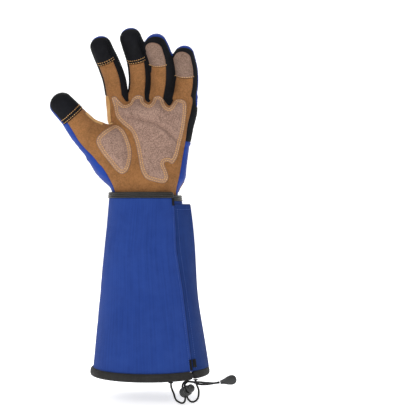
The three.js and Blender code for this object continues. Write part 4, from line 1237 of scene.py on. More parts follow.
def contour(points: Array, tris: Array, value: Array, level: float) -> list[Array]:
    """Lines on a mesh along which a value is constant.

    Args:
        points: the mesh's points.
        tris: its triangles.
        value: one number for each point.
        level: the number to follow.

    Returns:
        The lines that aren't too short to sew, smoothed a little.
    """
    value = value - level
    value = np.where(abs(value) < 1e-4, 1e-4, value)
    below = value[tris] < 0
    count = below.sum(1)
    hit = (count > 0) & (count < 3)
    tris, below, count = tris[hit], below[hit], count[hit]
    lone = np.where(count == 1, below.argmax(1), below.argmin(1))
    row = np.arange(len(tris))
    a, b, c = (tris[row, (lone + k) % 3] for k in range(3))
    spots: dict[tuple[int, int], Array] = {}
    near: dict[tuple[int, int], list[tuple[int, int]]] = {}
    for i, j, k in zip(a.tolist(), b.tolist(), c.tolist()):
        keys = (min(i, j), max(i, j)), (min(i, k), max(i, k))
        for key in keys:
            if key not in spots:
                t = value[key[0]] / (value[key[0]] - value[key[1]])
                spots[key] = points[key[0]] * (1 - t) + points[key[1]] * t
        near.setdefault(keys[0], []).append(keys[1])
        near.setdefault(keys[1], []).append(keys[0])
    lines = []
    seen: set[tuple[int, int]] = set()
    starts = sorted(near, key=lambda key: len(near[key]) != 1)
    for start in starts:
        if start in seen:
            continue
        walk, key = [], start
        while key is not None:
            seen.add(key)
            walk.append(spots[key])
            key = next((n for n in near[key] if n not in seen), None)
        if len(near[start]) == 2 and len(walk) > 2:
            walk.append(spots[start])
        line = np.array(walk)
        if len(line) > 4 and np.linalg.norm(np.diff(line, axis=0), axis=1).sum() >= SHORTEST_ROW:
            for _ in range(4):
                line[1:-1] = (line[:-2] + 2 * line[1:-1] + line[2:]) / 4
            lines.append(line)
    return lines


@dataclass(frozen=True)
class Raised:
    """The section of a piece that is sewn on top of the skin, from its edge inwards."""

    edge: float = 1.0
    middle: float = 2.3
    band: float = 5.0
    slope: float = 5.0
    rows: tuple[float, ...] = (1.6, 4.0)
    unevenness: float = 0.25
    pucker: float = 0.22

    def height(self, inward: Array, points: Array, seed: int) -> Array:
        """How far the outer face stands above the skin at a distance from the edge."""
        lip = self.edge * np.sqrt(np.clip(1.0 - (1.0 - np.clip(inward, 0, 1)) ** 2, 0.0, 1.0))
        rise = (self.middle - self.edge) * ease(inward, self.band, self.band + self.slope)
        valleys = sum(0.28 * bell(inward - row, 0.5) for row in self.rows)
        uneven = self.unevenness * ripple(points, 14.0, seed) * ease(inward, self.band, self.band + 6.0)
        puckered = self.pucker * ripple(points, 3.2, seed + 7) * ease(-inward, -self.band - 1.0, -0.5)
        return np.maximum(lip - valleys * ease(inward, 0.4, 1.0) + rise + uneven + puckered, 0.25)


class Panel(Enum):
    """A panel of the skin, numbered in the order in which it is cut."""

    thumb_gusset = 1
    palm_gusset = 2
    index_tip = 3
    middle_tip = 4
    ring_tip = 5
    little_tip = 6
    thumb_tip = 7
    palm_leather = 8
    back_stretch = 9
    index_outer_side = 10
    index_middle_side = 11
    middle_ring_side = 12
    ring_little_side = 13


PANEL_LOOK: dict[Panel, tuple[Finish, str, float]] = {
    # finish, slot, how far it lies on top of its neighbours in mm
    Panel.thumb_gusset: (PALE, "pale_leather", 0.0),
    Panel.palm_gusset: (PALE, "pale_leather", 0.0),
    Panel.index_tip: (BLACK_GRIP, "black_knit", 0.35),
    Panel.middle_tip: (BLACK_GRIP, "black_knit", 0.35),
    Panel.thumb_tip: (BLACK_GRIP, "black_knit", 0.35),
    Panel.ring_tip: (TIP_SUEDE, "suede", 0.35),
    Panel.little_tip: (TIP_SUEDE, "suede", 0.35),
    Panel.palm_leather: (TAN, "tan_leather", 0.0),
    Panel.back_stretch: (BLUE_STRETCH, "blue_stretch", 0.0),
    Panel.index_outer_side: (BLACK_KNIT, "black_knit", 0.0),
    Panel.index_middle_side: (BLACK_KNIT, "black_knit", 0.0),
    Panel.middle_ring_side: (BLACK_KNIT, "black_knit", 0.0),
    Panel.ring_little_side: (BLACK_KNIT, "black_knit", 0.0),
}


@dataclass
class Hand:
    """The glove's hand: its panels, pads, patches and stitching."""

    wardrobe: Wardrobe
    stitcher: Stitcher
    form: HandForm = field(default_factory=HandForm)
    wall: float = 1.1
    seam_depth: float = 0.5
    gather_depth: float = 2.8
    pleats: float = 13.0
    most_faces: int = 92000
    seam_gap: float = 0.3
    gusset_fillet: float = 9.0
    strip_corner: float = 9.0

    def build(self) -> None:
        """Makes every piece of the hand."""
        self.lines = {name: DigitLine(digit) for name, digit in DIGITS.items()}
        points, quads = refined(*self.form.build(self.lines))
        self.skin = Skin(points, quads, self.lines)
        LOG.info("skin: %d points", len(points))
        self._gather()
        self._cut_panels()
        self._press_seams()
        for panel in Panel:
            self._make_panel(panel)
        self._make_pads()
        self._make_patches()
        self._sew_caps()

    def _gather(self) -> None:
        """Draws the back in along the wrist elastic, in small upright pleats."""
        skin = self.skin
        x, y, z = skin.points.T
        height = z - (WRIST_Z + GATHER_HEIGHT)
        back = ease(y, 2.0, 14.0)
        drawn = self.gather_depth * bell(height, 5.5)
        zigzag = 1.3 * np.sin(height / 3.4)
        wave = np.cos((x - WRIST_X) / HAND_WIDTH * 2 * math.pi * self.pleats + zigzag)
        folds = 1.7 * wave * bell(height, 8.5) * ease(-abs(x - WRIST_X), -40.0, -30.0)
        skin.data[:, :3] -= skin.normals * ((drawn - folds) * back)[:, None]

    def _cut_panels(self) -> None:
        """Cuts the skin along its seams, in the order of the panels."""
        skin = self.skin
        gusset = [skin.sector("thumb", *part) for part in THUMB_GUSSET]
        skin.claim(Panel.thumb_gusset.value, melt(*gusset, self.gusset_fillet))
        skin.claim(Panel.palm_gusset.value, skin.flat("palm_gusset", GUSSET_FRONT_Y, FAR))
        for name, digit in DIGITS.items():
            skin.claim(Panel[name + "_tip"].value, self._tip(name, digit))
        fronts = [skin.sector(n, d.palmar, BASE, d.cap_end) for n, d in DIGITS.items() if n != "thumb"]
        _, frontal, _, gap = skin.place("thumb").T
        toward = (-0.05 - frontal) * self.lines["thumb"].deep.mean()
        fronts.append(np.max([skin.flat("thumb_front", -FAR, 0.0), toward, gap - 4.0], axis=0))
        fronts.append(skin.flat("palm_leather", -FAR, -self.seam_gap))
        skin.claim(Panel.palm_leather.value, np.min(fronts, axis=0))
        x, _, z = skin.points.T
        backs = [skin.sector(n, d.dorsal, THUMB_BACK_BASE if n == "thumb" else BASE, 1.0)
                 for n, d in DIGITS.items()]
        low = z - upward(BLACK_EDGE_UP)
        thumb_side = np.maximum(x, z - upward(BLUE_EDGE_UP))
        backs += [skin.flat("back_stretch", SIDE_SEAM_Y, FAR), low, thumb_side]
        skin.claim(Panel.back_stretch.value, np.min(backs, axis=0))
        sides = (Panel.index_outer_side, Panel.index_middle_side, Panel.middle_ring_side,
                 Panel.ring_little_side)
        skin.share_rest([side.value for side in sides])

    def _tip(self, name: str, digit: Digit) -> Array:
        """Distance to a tip panel: its foot is straight, and its top is round and faces the front."""
        skin, line = self.skin, self.lines[name]
        sideways, frontal, share, _ = skin.place(name).T
        low, high = digit.tip
        middle, half = math.radians(low + high) / 2, math.radians(high - low) / 2
        facing = sideways * math.sin(middle) + frontal * math.cos(middle)
        opening = np.full(len(share), half)
        if digit.cap_end == 1:
            dome = 1 - 1.3 * line.dome_length / line.length
            opening += (math.radians(96.0) - half) * ease(share, dome, 1.0)
        arch = (np.cos(opening) - facing) * line.wide.mean() / math.sin(half)
        return np.maximum(arch, skin.sector(name, (-180.0, 180.0), digit.cap, 1.0))

    def _press_seams(self) -> None:
        """Sinks the surface along the seams, and lets each panel puff between them."""
        skin = self.skin
        seam = np.zeros(len(skin.data), bool)
        for panel in Panel:
            rim = edge_points(skin.tris[skin.label == panel.value])
            seam[rim[skin.points[rim, 2] > WRIST_Z - OPEN_END + 2.5]] = True
        self.rest = skin.points.copy()
        self.seam_distance = distance_to(self.rest, self.rest[seam])
        sunk = self.seam_depth * bell(self.seam_distance, 0.9)
        puff = 1.0 - bell(self.seam_distance, 7.0)
        uneven = 0.22 * ripple(self.rest, 17.0, 3) + 0.1 * ripple(self.rest, 6.0, 5)
        self.lift = puff * (0.35 + uneven) - sunk
        self.normals = skin.normals

    def _make_panel(self, panel: Panel) -> None:
        """Makes one panel as a thin shell."""
        finish, slot, lap = PANEL_LOOK[panel]
        skin = self.skin
        tris = skin.tris[skin.label == panel.value]
        used, inverse = np.unique(tris, return_inverse=True)
        lift = self.lift[used] + lap * ease(self.seam_distance[used], 0.0, 0.8)
        points = self.rest[used] + self.normals[used] * lift[:, None]
        marks = {"edge": self.seam_distance[used]}
        piece = Patchwork(points, inverse.reshape(-1, 3), marks=marks).to_object(
            panel.name + "_skin", self.wardrobe.get(finish))
        weld(piece, 0.07)
        if len(tris) > self.most_faces:
            thinned = piece.modifiers.new("thinned", "DECIMATE")
            thinned.ratio = self.most_faces / len(tris)
        wall = piece.modifiers.new("wall", "SOLIDIFY")
        wall.thickness = self.wall * MM
        wall.offset = -1.0
        settle(piece, slot, panel.name)

    def _raise(self, name: str, value: Array, section: Raised, finish: Finish, seed: int,
               facing: Array | None = None, fold: Array | None = None
               ) -> tuple[bpy.types.Object, list[list[Array]]]:
        """Raises a sewn-on piece from the skin.

        Args:
            name: the piece's name.
            value: distance to its outline at each point of the skin, negative inside.
            section: its section.
            finish: its finish.
            seed: start of its unevenness.
            facing: which points may belong to it.
            fold: a line across it, as seen from the front, along which it is pressed in.

        Returns:
            The piece, and its stitch lines row by row.
        """
        skin = Skin.__new__(Skin)
        skin.data = np.column_stack([self.rest, self.normals, self.lift, value])
        skin.tris, skin.label = self.skin.tris, np.zeros(len(self.skin.tris), int)
        if facing is not None:
            skin.tris = skin.tris[facing[skin.tris].all(1)]
            skin.label = np.zeros(len(skin.tris), int)
        inside = skin.cut(value, skin.label == 0)
        tris = skin.tris[inside]
        group, sizes = parts(skin.points, tris)
        tris = tris[group == sizes.argmax()]
        used, inverse = np.unique(tris, return_inverse=True)
        tris = inverse.reshape(-1, 3)
        base, out = skin.points[used], unit(skin.data[used, 3:6])
        lift = np.maximum(skin.data[used, 6], -0.1)
        rim = edge_points(tris)
        inward = distance_to(base, base[rim])
        height = section.height(inward, base, seed)
        if fold is not None:
            away = line_distance(base[:, (0, 2)], fold)
            pressed = 2.0 * bell(away, 1.9) - 0.6 * bell(away - 5.0, 3.0)
            height = np.maximum(height - pressed * ease(inward, 2.0, 7.0), 0.25)
        top = base + out * (lift + height)[:, None]
        bottom = base + out * (lift + 0.05)[:, None]
        count = len(base)
        ends = np.concatenate([tris[:, (0, 1)], tris[:, (1, 2)], tris[:, (2, 0)]])
        known = set(map(tuple, ends.tolist()))
        border = [(i, j) for i, j in ends.tolist() if (j, i) not in known]
        faces = tris.tolist() + (tris[:, ::-1] + count).tolist()
        faces += [(j, i, i + count, j + count) for i, j in border]
        marks = {"edge": np.concatenate([inward, np.zeros(count)])}
        piece = Patchwork(np.vstack([top, bottom]), faces, marks=marks).to_object(
            name, self.wardrobe.get(finish))
        weld(piece, 0.04)
        sewn = [contour(top + out * 0.12, tris, inward, row) for row in section.rows]
        return piece, sewn

    def _make_pads(self) -> None:
        """Makes the two padded pieces of the palm."""
        front = self.normals[:, 1] < 0.25
        for seed, name in enumerate(("palm_pad", "thenar_pad")):
            value = np.maximum(outline_gap(self.rest[:, 0], self.rest[:, 2], outline_mm(name)),
                               self.rest[:, 1] + 2.0)
            fold = PALM_FOLD if name == "palm_pad" else None
            piece, sewn = self._raise(name + "_suede", value, Raised(), ROSY_SUEDE, 20 + seed, front, fold)
            settle(piece, "suede", name)
            self._sew(name, sewn, PAD_SEWING)

    def _make_patches(self) -> None:
        """Makes the flat pieces that are sewn on the back."""
        back = self.normals[:, 1] > -0.55
        thin = Raised(edge=0.9, middle=1.2, band=3.6, slope=4.0, rows=(1.5,), unevenness=0.12)
        tab = Raised(edge=1.0, middle=1.3, band=3.0, slope=3.0, rows=(1.6,), unevenness=0.1)
        grip = Raised(edge=0.9, middle=1.1, band=4.0, slope=3.0, rows=(1.3, 3.0), unevenness=0.05)
        flats = {"knuckle_patch": thin, "wrist_tab": tab}
        x, y, z = self.rest.T
        for seed, (name, section) in enumerate(flats.items()):
            value = np.maximum(outline_gap(x, z, outline_mm(name)), 2.0 - y)
            piece, sewn = self._raise(name + "_suede", value, section, BROWN_SUEDE, 40 + seed, back)
            settle(piece, "brown_suede", name)
            self._sew(name, sewn, PATCH_SEWING)
        for seed, (name, (digit, angles, start, end)) in enumerate(BACK_STRIPS.items()):
            value = self.skin.sector(digit, angles, start, end, self.strip_corner)
            look = ("_suede", thin, BROWN_SUEDE, "brown_suede")
            if name == "index_patch":
                look = ("_grip", grip, BLACK_GRIP, "black_knit")
            ending, section, finish, slot = look
            piece, sewn = self._raise(name + ending, value, section, finish, 50 + seed, back)
            settle(piece, slot, name)
            self._sew(name, sewn, PATCH_SEWING)

    def _sew(self, name: str, sewn: list[list[Array]], sewing: tuple[float, float]) -> None:
        """Sews a piece's rows with tan thread."""
        thread = self.wardrobe.get(TAN_THREAD)
        for k, lines in enumerate(sewn):
            row = self.stitcher.sew(f"{name}_stitches_{k + 1}", lines, thread, *sewing)
            if row:
                settle(row, "pale_leather")

    def _sew_caps(self) -> None:
        """Sews two rows just above the lower edge of each black cap, and one on the suede tips."""
        skin = self.skin
        top = self.rest + self.normals * (self.lift + 0.45)[:, None]
        for name, digit in DIGITS.items():
            tris = skin.tris[skin.label == Panel[name + "_tip"].value]
            along = (skin.place(name)[:, 2] - digit.cap) * self.lines[name].length
            levels = (1.6, 5.0) if digit.cap_end == 1 else (1.4,)
            self._sew(name + "_tip", [contour(top, tris, along, level) for level in levels], CAP_SEWING)


# The cuff

# The cuff's girth half-way up, in mm
GIRTH = math.pi * 110.0


@dataclass
class CuffForm:
    """The oval cone of the cuff, and the slit from which its turns are counted."""

    height: float = 203.0
    rim: tuple[float, float] = (135.0, 108.0)
    top: tuple[float, float] = (86.0, 66.0)
    lean: float = -5.6
    recess: float = 2.3
    step: float = 3.5
    slit_up: tuple[float, ...] = (0.0, 0.25, 0.5, 0.72, 1.0)
    slit_angles: tuple[float, ...] = (-46.0, -46.5, -47.5, -50.0, -44.0)

    def slit(self, height: Array) -> Array:
        """The slit's angle at a height, in degrees."""
        return np.interp(np.asarray(height, float) / self.height, self.slit_up, self.slit_angles)

    def point(self, angle: Array, height: Array, outset: Array) -> Array:
        """A point of the cone at an angle and height, moved outwards by outset."""
        angle, height, outset = np.broadcast_arrays(*(np.asarray(v, float) for v in (angle, height, outset)))
        up = height / self.height
        a = np.radians(angle)
        half_x = (self.rim[0] + (self.top[0] - self.rim[0]) * up) / 2 + outset
        half_y = (self.rim[1] + (self.top[1] - self.rim[1]) * up) / 2 + outset
        return np.stack([self.lean * up + half_x * np.cos(a), half_y * np.sin(a), height], -1)

    def turned(self, turn: Array, height: Array, outset: Array) -> Array:
        """The same at a share of the turn from the slit round the front, thumb side and back."""
        turn = np.asarray(turn, float)
        sunk = self.recess * ease(turn, 0.66, 0.77)
        return self.point(self.slit(height) - 360.0 * turn, height, outset - sunk)

    def drop(self, turn: Array) -> Array:
        """How much lower the top edge is at a turn."""
        return self.step * ease(turn, 0.45, 0.8)


@dataclass
class Cuff:
    """The cuff's cloth cone, flap, hem, binding and tapes."""

    wardrobe: Wardrobe
    stitcher: Stitcher
    form: CuffForm = field(default_factory=CuffForm)
    wall: float = 2.2
    hem_height: float = 9.2
    hem_proud: float = 3.0
    hem_inside: float = 3.4
    hem_dip: float = 1.0
    slit_width: float = 3.0
    slit_row: float = 3.4
    flap_thickness: float = 2.0
    flap_standoff: float = 7.5
    flap_margin: float = 7.0
    flap_end: float = -5.0
    flap_slit_row: float = 5.2
    flap_free_row: float = 4.6
    flap_top_row: float = 6.8
    tape_width: float = 3.4
    tape_height: float = 12.0
    tab_width: float = 6.0
    binding_height: float = 6.5
    binding_proud: float = 1.4
    binding_inside: float = 4.4

    def build(self) -> None:
        """Makes every piece of the cuff."""
        self._body()
        self._flap()
        self._hem()
        self._binding()
        self._tapes()

    def _sheet(self, name: str, outer: Array, inner: Array, cloth: tuple[Array, Array], finish: Finish,
               slot: str, node: str) -> None:
        """Makes a closed sheet of cloth.

        Args:
            name: the piece's name.
            outer: its outer face, as a grid of points.
            inner: its inner face, the same way.
            cloth: where each point lies on the flat cloth, across and up in mm.
            finish: its finish.
            slot: not used.
            node: the CAD node that it stands for.
        """
        points, faces = shell(outer, inner)
        flat = np.column_stack([values.ravel() for values in cloth])
        piece = Patchwork(points, faces, np.vstack([flat, flat])).to_object(name, self.wardrobe.get(finish))
        outward(piece)
        settle(piece, slot, node)

    def _sew(self, name: str, rows: Sequence[Array]) -> None:
        """Sews rows with blue thread."""
        settle(self.stitcher.sew(name, rows, self.wardrobe.get(BLUE_THREAD), *CUFF_SEWING), "blue_canvas")

    def _body(self) -> None:
        """The cloth cone, with a folded edge at the slit."""
        foot = self.hem_height - 1.2
        turn, up = np.meshgrid(np.linspace(0, 1, 221), np.linspace(0, 1, 101), indexing="ij")
        top = self.form.height - self.form.drop(turn)
        height = foot + (top - foot) * up
        flat = self.form.turned(turn, height, 0.0)
        round_mm = turn * GIRTH
        wave = 0.3 * ripple(flat.reshape(-1, 3), 60.0, 11) + 0.1 * ripple(flat.reshape(-1, 3), 18.0, 12)
        wave = wave.reshape(turn.shape) * np.minimum(1.0, np.minimum(up, 1 - up) * 12)
        fold = 0.35 * (1 - ease(round_mm, 4.2, 4.9)) - 0.3 * bell(round_mm - 4.6, 0.5)
        outer = self.form.turned(turn, height, wave + fold)
        inner = self.form.turned(turn, height, wave - self.wall)
        self._sheet("cuff_cloth", outer, inner, (round_mm, height), BLUE_CANVAS, "blue_canvas", "cuff_body")
        heights = np.linspace(foot + 2, self.form.height - 2, 120)
        line = self.form.turned(self.slit_row / GIRTH * np.ones(120), heights, 0.5)
        self._sew("cuff_stitches", [line])

    def _flap(self) -> None:
        """The flap beside the slit, with its folded and sewn edges."""
        foot = self.hem_height - 0.6
        top = self.form.height - self.flap_margin
        share, up = np.meshgrid(np.linspace(0, 1, 61), np.linspace(0, 1, 121), indexing="ij")
        height = foot + (top - foot) * up
        lift = self.flap_standoff * ease(height / self.form.height, 0.35, 1.0)
        start = self.form.slit(height) + 1.0
        angle = start + (self.flap_end - start) * share
        wide = 0.5 * (self.form.rim[0] + self.form.top[0]) * math.pi / 360.0 * (self.flap_end + 46.0)
        from_slit, from_free, from_top = share * wide, (1 - share) * wide, (top - height)
        turned = 0.35 * np.maximum(1 - ease(from_free, 4.2, 5.0), 1 - ease(from_top, 6.4, 7.2))
        rows = ((from_slit, self.flap_slit_row), (from_free, self.flap_free_row),
                (from_top, self.flap_top_row))
        valleys = 0.3 * sum(bell(away - row, 0.5) for away, row in rows)
        ruffle = 0.5 * np.sin(height / 21.0 + 0.7) * share ** 2
        rounding = 0.7 * bell(from_free, 0.7) + 0.7 * bell(from_top, 0.7)
        out = lift * share ** 2 + turned - valleys + ruffle
        outer = self.form.point(angle, height, out - rounding)
        behind = lift * share ** 2 + ruffle - self.flap_thickness
        inner = self.form.point(angle, height, behind + rounding * 0.8)
        self._sheet("flap_cloth", outer, inner, (from_slit, height), FLAP_CANVAS, "blue_canvas", "cuff_flap")
        rows = []
        for place in (self.flap_slit_row, wide - self.flap_free_row):
            k = int(round(place / wide * 60))
            rows.append(outer[k, 2:-4] + unit(outer[k, 2:-4] * (1, 1, 0)) * 0.35)
        level = int(round((1 - self.flap_top_row / (top - foot)) * 120))
        rows.append(outer[2:-3, level] + unit(outer[2:-3, level] * (1, 1, 0)) * 0.35)
        self._sew("flap_stitches", rows)

    def _band(self, name: str, profile: Array, finish: Finish, slot: str, node: str, slit_width: float,
              drop: Callable[[Array, Array], Array]) -> bpy.types.Object:
        """A C-shaped band round the cuff, open at the slit.

        Args:
            name: the piece's name.
            profile: its section as outset and height, all the way round.
            finish: its finish.
            slot: not used.
            node: the CAD node that it stands for.
            slit_width: how wide it is open, in mm.
            drop: how far it is lowered at a turn and angle.

        Returns:
            The piece.
        """
        gap = slit_width / (math.pi * self.form.rim[0]) / 2
        turns = np.linspace(gap, 1 - gap, 241)
        ends = np.minimum(turns - gap, 1 - gap - turns) * GIRTH
        pinch = 1.0 - 0.5 * bell(ends, 1.3)[:, None]
        middle = profile.mean(0)
        outset = middle[0] + (profile[None, :, 0] - middle[0]) * pinch
        height = middle[1] + (profile[None, :, 1] - middle[1]) * pinch
        rings = self.form.turned(turns[:, None], height, outset)
        rings[..., 2] -= drop(turns[:, None], self.form.slit(height) - 360.0 * turns[:, None])
        length = np.append(0, np.cumsum(np.linalg.norm(np.diff(profile, axis=0), axis=1)))
        around = np.broadcast_to(turns[:, None] * GIRTH, height.shape)
        cloth = np.column_stack([around.ravel(), np.tile(length, len(turns))])
        return settle(lofted(name, rings, self.wardrobe.get(finish), cloth), slot, node)

    def _hem(self) -> None:
        """The thick rolled hem."""
        a = np.linspace(0, 2 * math.pi, 28, endpoint=False)
        wide, tall = (self.hem_proud + self.hem_inside) / 2, self.hem_height / 2
        profile = np.column_stack([(self.hem_proud - self.hem_inside) / 2 + wide * squared(np.cos(a)),
                                   tall + tall * squared(np.sin(a))])
        self._band("hem_roll", profile, GREY_HEM, "grey_binding", "cuff_hem", self.slit_width,
                   lambda turn, angle: self.hem_dip * abs(np.sin(np.radians(angle))))

    def _binding(self) -> None:
        """The ribbed binding between cuff and hand, with a lip that hugs the hand."""
        foot = self.form.height - 0.2
        up = np.linspace(0, 1, 31)
        ridges = self.binding_proud - 0.75 + 0.7 * abs(np.sin(up * math.pi * 3)) ** 0.6
        outer = np.column_stack([ridges, foot + (self.binding_height + 0.3) * up])
        top = foot + self.binding_height + 0.3
        lip = np.array([(-0.6, top + 0.1), (-2.6, top - 0.2), (-self.binding_inside, top - 1.4)])
        inner = np.array([(-self.binding_inside, foot + 2.0), (-self.wall, foot)])
        profile = np.vstack([outer, lip, inner])
        self._band("wrist_webbing", profile, GREY_BINDING, "grey_binding", "wrist_binding", 1.2,
                   lambda turn, angle: self.form.drop(turn) * np.ones_like(angle))

    def _tapes(self) -> None:
        """The small tapes that guard the ends of the slit, and the tab on the hem."""
        foot = self.hem_height + 0.3
        low, high = (360.0 * self.tape_width / (math.pi * w) for w in (self.form.rim[0], self.form.top[0]))
        tab = 360.0 * self.tab_width / (math.pi * self.form.rim[0])
        specs = {
            "slit_tape_low": ((-low, -0.2), (foot, foot + self.tape_height)),
            "slit_tape_high": ((-high, -0.2), (self.form.height - 9.0, self.form.height - 0.2)),
            "hem_tab": ((1.5, 1.5 + tab), (foot + 3.0, foot + self.tape_height)),
        }
        for name, ((first, last), (bottom, top)) in specs.items():
            share, up = np.meshgrid(np.linspace(0, 1, 13), np.linspace(0, 1, 25), indexing="ij")
            height = bottom + (top - bottom) * up
            angle = self.form.slit(height) + first + (last - first) * share
            rim = np.minimum(np.minimum(share, 1 - share) * 4.0, np.minimum(up, 1 - up) * (top - bottom))
            crown = 0.5 * ease(rim, 0.0, 0.6) + 0.08 * np.sin(height * 5.0)
            outer = self.form.point(angle, height, 0.65 + crown)
            inner = self.form.point(angle, height, 0.3)
            self._sheet(name + "_cloth", outer, inner, (share * 4.0, height), BLACK_TAPE, "black_knit", name)


# The draw cord

CORDS = {
    "draw_cord_front": (0.5,
                        [(21.5, -50.4, -1.2), (21.9, -51, -6.5), (24.7, -52.6, -14), (27.2, -53, -20.6),
                         (33.6, -52.1, -24.3), (36.3, -50.3, -23.5)],
                        [(35.7, -40.9, -4.4), (38.7, -40.9, -2.3), (45, -42.2, -2.8), (53, -43.2, -3),
                         (62, -43.7, -3.7), (70, -43.8, -4.2)]),
    "draw_cord_side": (-0.5,
                       [(49.6, -34.6, -1.2), (50, -35.1, -5), (53, -39.6, -13.5), (51, -44.2, -21.8),
                        (46.3, -46.4, -24.3), (42.6, -47, -23)],
                       [(38.1, -39, -5), (41.1, -38.1, -3.2), (46.5, -38.9, -3.6), (52.9, -40, -5.8),
                        (62, -40.8, -6), (70, -41, -4.8)]),
}


@dataclass
class DrawCord:
    """The hem's draw cord: two free ends, their eyelets, the lock and the shared end piece."""

    wardrobe: Wardrobe
    diameter: float = 2.2
    spacing: float = 3.0
    lock_centre: tuple[float, float, float] = (38.2, -45.5, -12.8)
    lock_axis: tuple[float, float, float] = (0.457, -0.762, 0.457)
    lock_diameter: float = 11.6
    lock_length: float = 13.0
    lock_ribs: int = 4
    button_diameter: float = 9.2
    end_face: tuple[float, float, float] = (76.5, -42.3, -3.6)
    end_length: float = 18.6
    end_neck: float = 4.4
    end_width: float = 11.0
    end_thickness: float = 6.0
    end_tilt: float = 12.0
    pass_offset: float = 2.0
    pass_way: tuple[float, float, float] = (-0.22, 0.4, 0.89)
    turned_sides: int = 48

    def build(self) -> None:
        """Makes the cords and what is on them."""
        self.axis = unit(np.array(self.lock_axis))
        rough = np.array(self.pass_way)
        self.through = unit(rough - self.axis * (rough @ self.axis))
        self.beside = np.cross(self.axis, self.through)
        self.centre = np.array(self.lock_centre)
        lock = self._lock()
        button = self._button()
        end = self._end()
        for name, (side, loop, tail) in CORDS.items():
            self._cord(name, side, loop, tail)
            self._eyelet("eyelet" + name.removeprefix("draw_cord"), loop[0])

    def _cord(self, name: str, side: float, loop: list, tail: list) -> None:
        """One free end of the cord, from the hem through the lock to the end piece."""
        middle = self.centre - self.pass_offset * self.axis + self.beside * side * self.spacing
        half = self.lock_diameter / 2
        inside = [middle + self.through * a for a in (-half - 1.2, -half / 2, half / 2, half + 0.8)]
        end = np.array(self.end_face) + (-0.3, -side * 2.8, 0.0)
        points = centripetal(np.vstack([loop, inside, tail, [end]]), np.linspace(0, 1, 150))
        along = unit(np.gradient(points, axis=0))
        across_it = [unit(np.cross(along[0], (0.3, 0.8, 0.5)))]
        for way in along[1:]:
            across_it.append(unit(across_it[-1] - way * (across_it[-1] @ way)))
        first = np.array(across_it)
        second = np.cross(along, first)
        a = np.linspace(0, 2 * math.pi, 12, endpoint=False)
        rings = points[:, None] + self.diameter / 2 * (first[:, None] * np.cos(a)[None, :, None]
                                                       + second[:, None] * np.sin(a)[None, :, None])
        lengths = np.append(0, np.cumsum(np.linalg.norm(np.diff(points, axis=0), axis=1)))
        cloth = np.column_stack([np.repeat(lengths, 12), np.tile(a / math.pi, len(points))])
        piece = lofted(name + "_braid", rings, self.wardrobe.get(BLACK_CORD), cloth)
        settle(piece, "cord_black", name)

    def _turned(self, name: str, profile: list[tuple[float, float]], axis: Array, foot: Array,
                finish: Finish) -> bpy.types.Object:
        """A turned piece: its profile is radius and distance along the axis from its foot."""
        first = unit(np.cross(axis, (0.1, 0.2, 0.97)))
        second = np.cross(axis, first)
        a = np.linspace(0, 2 * math.pi, self.turned_sides, endpoint=False)
        round_it = first[None] * np.cos(a)[:, None] + second[None] * np.sin(a)[:, None]
        rings = np.array([foot + axis * h + round_it * max(r, 0.01) for r, h in profile])
        return lofted(name, rings, self.wardrobe.get(finish))

    def _eyelet(self, node: str, place: tuple[float, ...]) -> None:
        """A rounded ring where the cord leaves the hem."""
        a = np.linspace(0, 2 * math.pi, 14, endpoint=False)
        profile = [(2.1 + 0.7 * math.cos(t), 0.5 + 0.5 * math.sin(t)) for t in a]
        foot = np.array([place[0], place[1], -2.3])
        b = np.linspace(0, 2 * math.pi, 36, endpoint=False)
        rings = np.array([[foot + (r * math.cos(t), r * math.sin(t), h) for t in b] for r, h in profile])
        piece = lofted(node + "_ring", rings, self.wardrobe.get(BLACK_PLASTIC), looped=True)
        settle(piece, "black_plastic", node)

    def _lock(self) -> bpy.types.Object:
        """The lock's ribbed barrel, with the slot that both cords pass through."""
        r, half = self.lock_diameter / 2, self.lock_length / 2
        profile = [(0.0, -half), (r - 2.2, -half), (r - 1.0, -half + 0.35), (r - 0.5, -half + 1.0)]
        for i in range(33):
            wave = math.sin(i / 32 * math.pi * self.lock_ribs)
            profile.append((r - 0.5 + 0.5 * abs(wave) ** 0.7, -half + 1.2 + (2 * half - 2.4) * i / 32))
        profile += [(r - 0.9, half - 0.5), (r - 1.8, half - 0.05), (r - 2.2, half), (r - 2.6, half - 0.1),
                    (3.0, half - 0.4), (2.8, half - 0.6), (0.0, half - 0.6)]
        body = self._turned("lock_barrel", profile, self.axis, self.centre, BLACK_PLASTIC)
        pass_half = self.diameter / 2 + 0.25
        corners = []
        for t in np.linspace(0, 2 * math.pi, 24, endpoint=False):
            x = math.copysign(self.spacing / 2, math.cos(t)) + pass_half * math.cos(t)
            corners.append(self.beside * x + self.axis * pass_half * math.sin(t))
        middle = self.centre - self.pass_offset * self.axis
        rings = np.array([[middle + c + self.through * s for c in corners] for s in (-20.0, 20.0)])
        slot = lofted("slot", rings, self.wardrobe.get(BLACK_PLASTIC))
        cut = body.modifiers.new("slot", "BOOLEAN")
        cut.object, cut.operation, cut.solver = slot, "DIFFERENCE", "EXACT"
        mesh = bpy.data.meshes.new_from_object(body.evaluated_get(bpy.context.evaluated_depsgraph_get()))
        body.modifiers.clear()
        body.data = mesh
        bpy.data.objects.remove(slot)
        return settle(body, "black_plastic", "cord_lock_body")

    def _button(self) -> bpy.types.Object:
        """The lock's round push button."""
        ball = self.button_diameter / 2
        profile = [(0.0, -2.4), (2.4, -2.4), (2.5, 0.2)]
        for i in range(25):
            a = math.radians(-56 + 146 * i / 24)
            profile.append((ball * math.cos(a), 0.3 + 0.9 * ball + ball * math.sin(a)))
        piece = self._turned("lock_button", profile, self.axis,
                             self.centre + self.axis * self.lock_length / 2, BLACK_PLASTIC)
        return settle(piece, "black_plastic", "cord_lock_button")

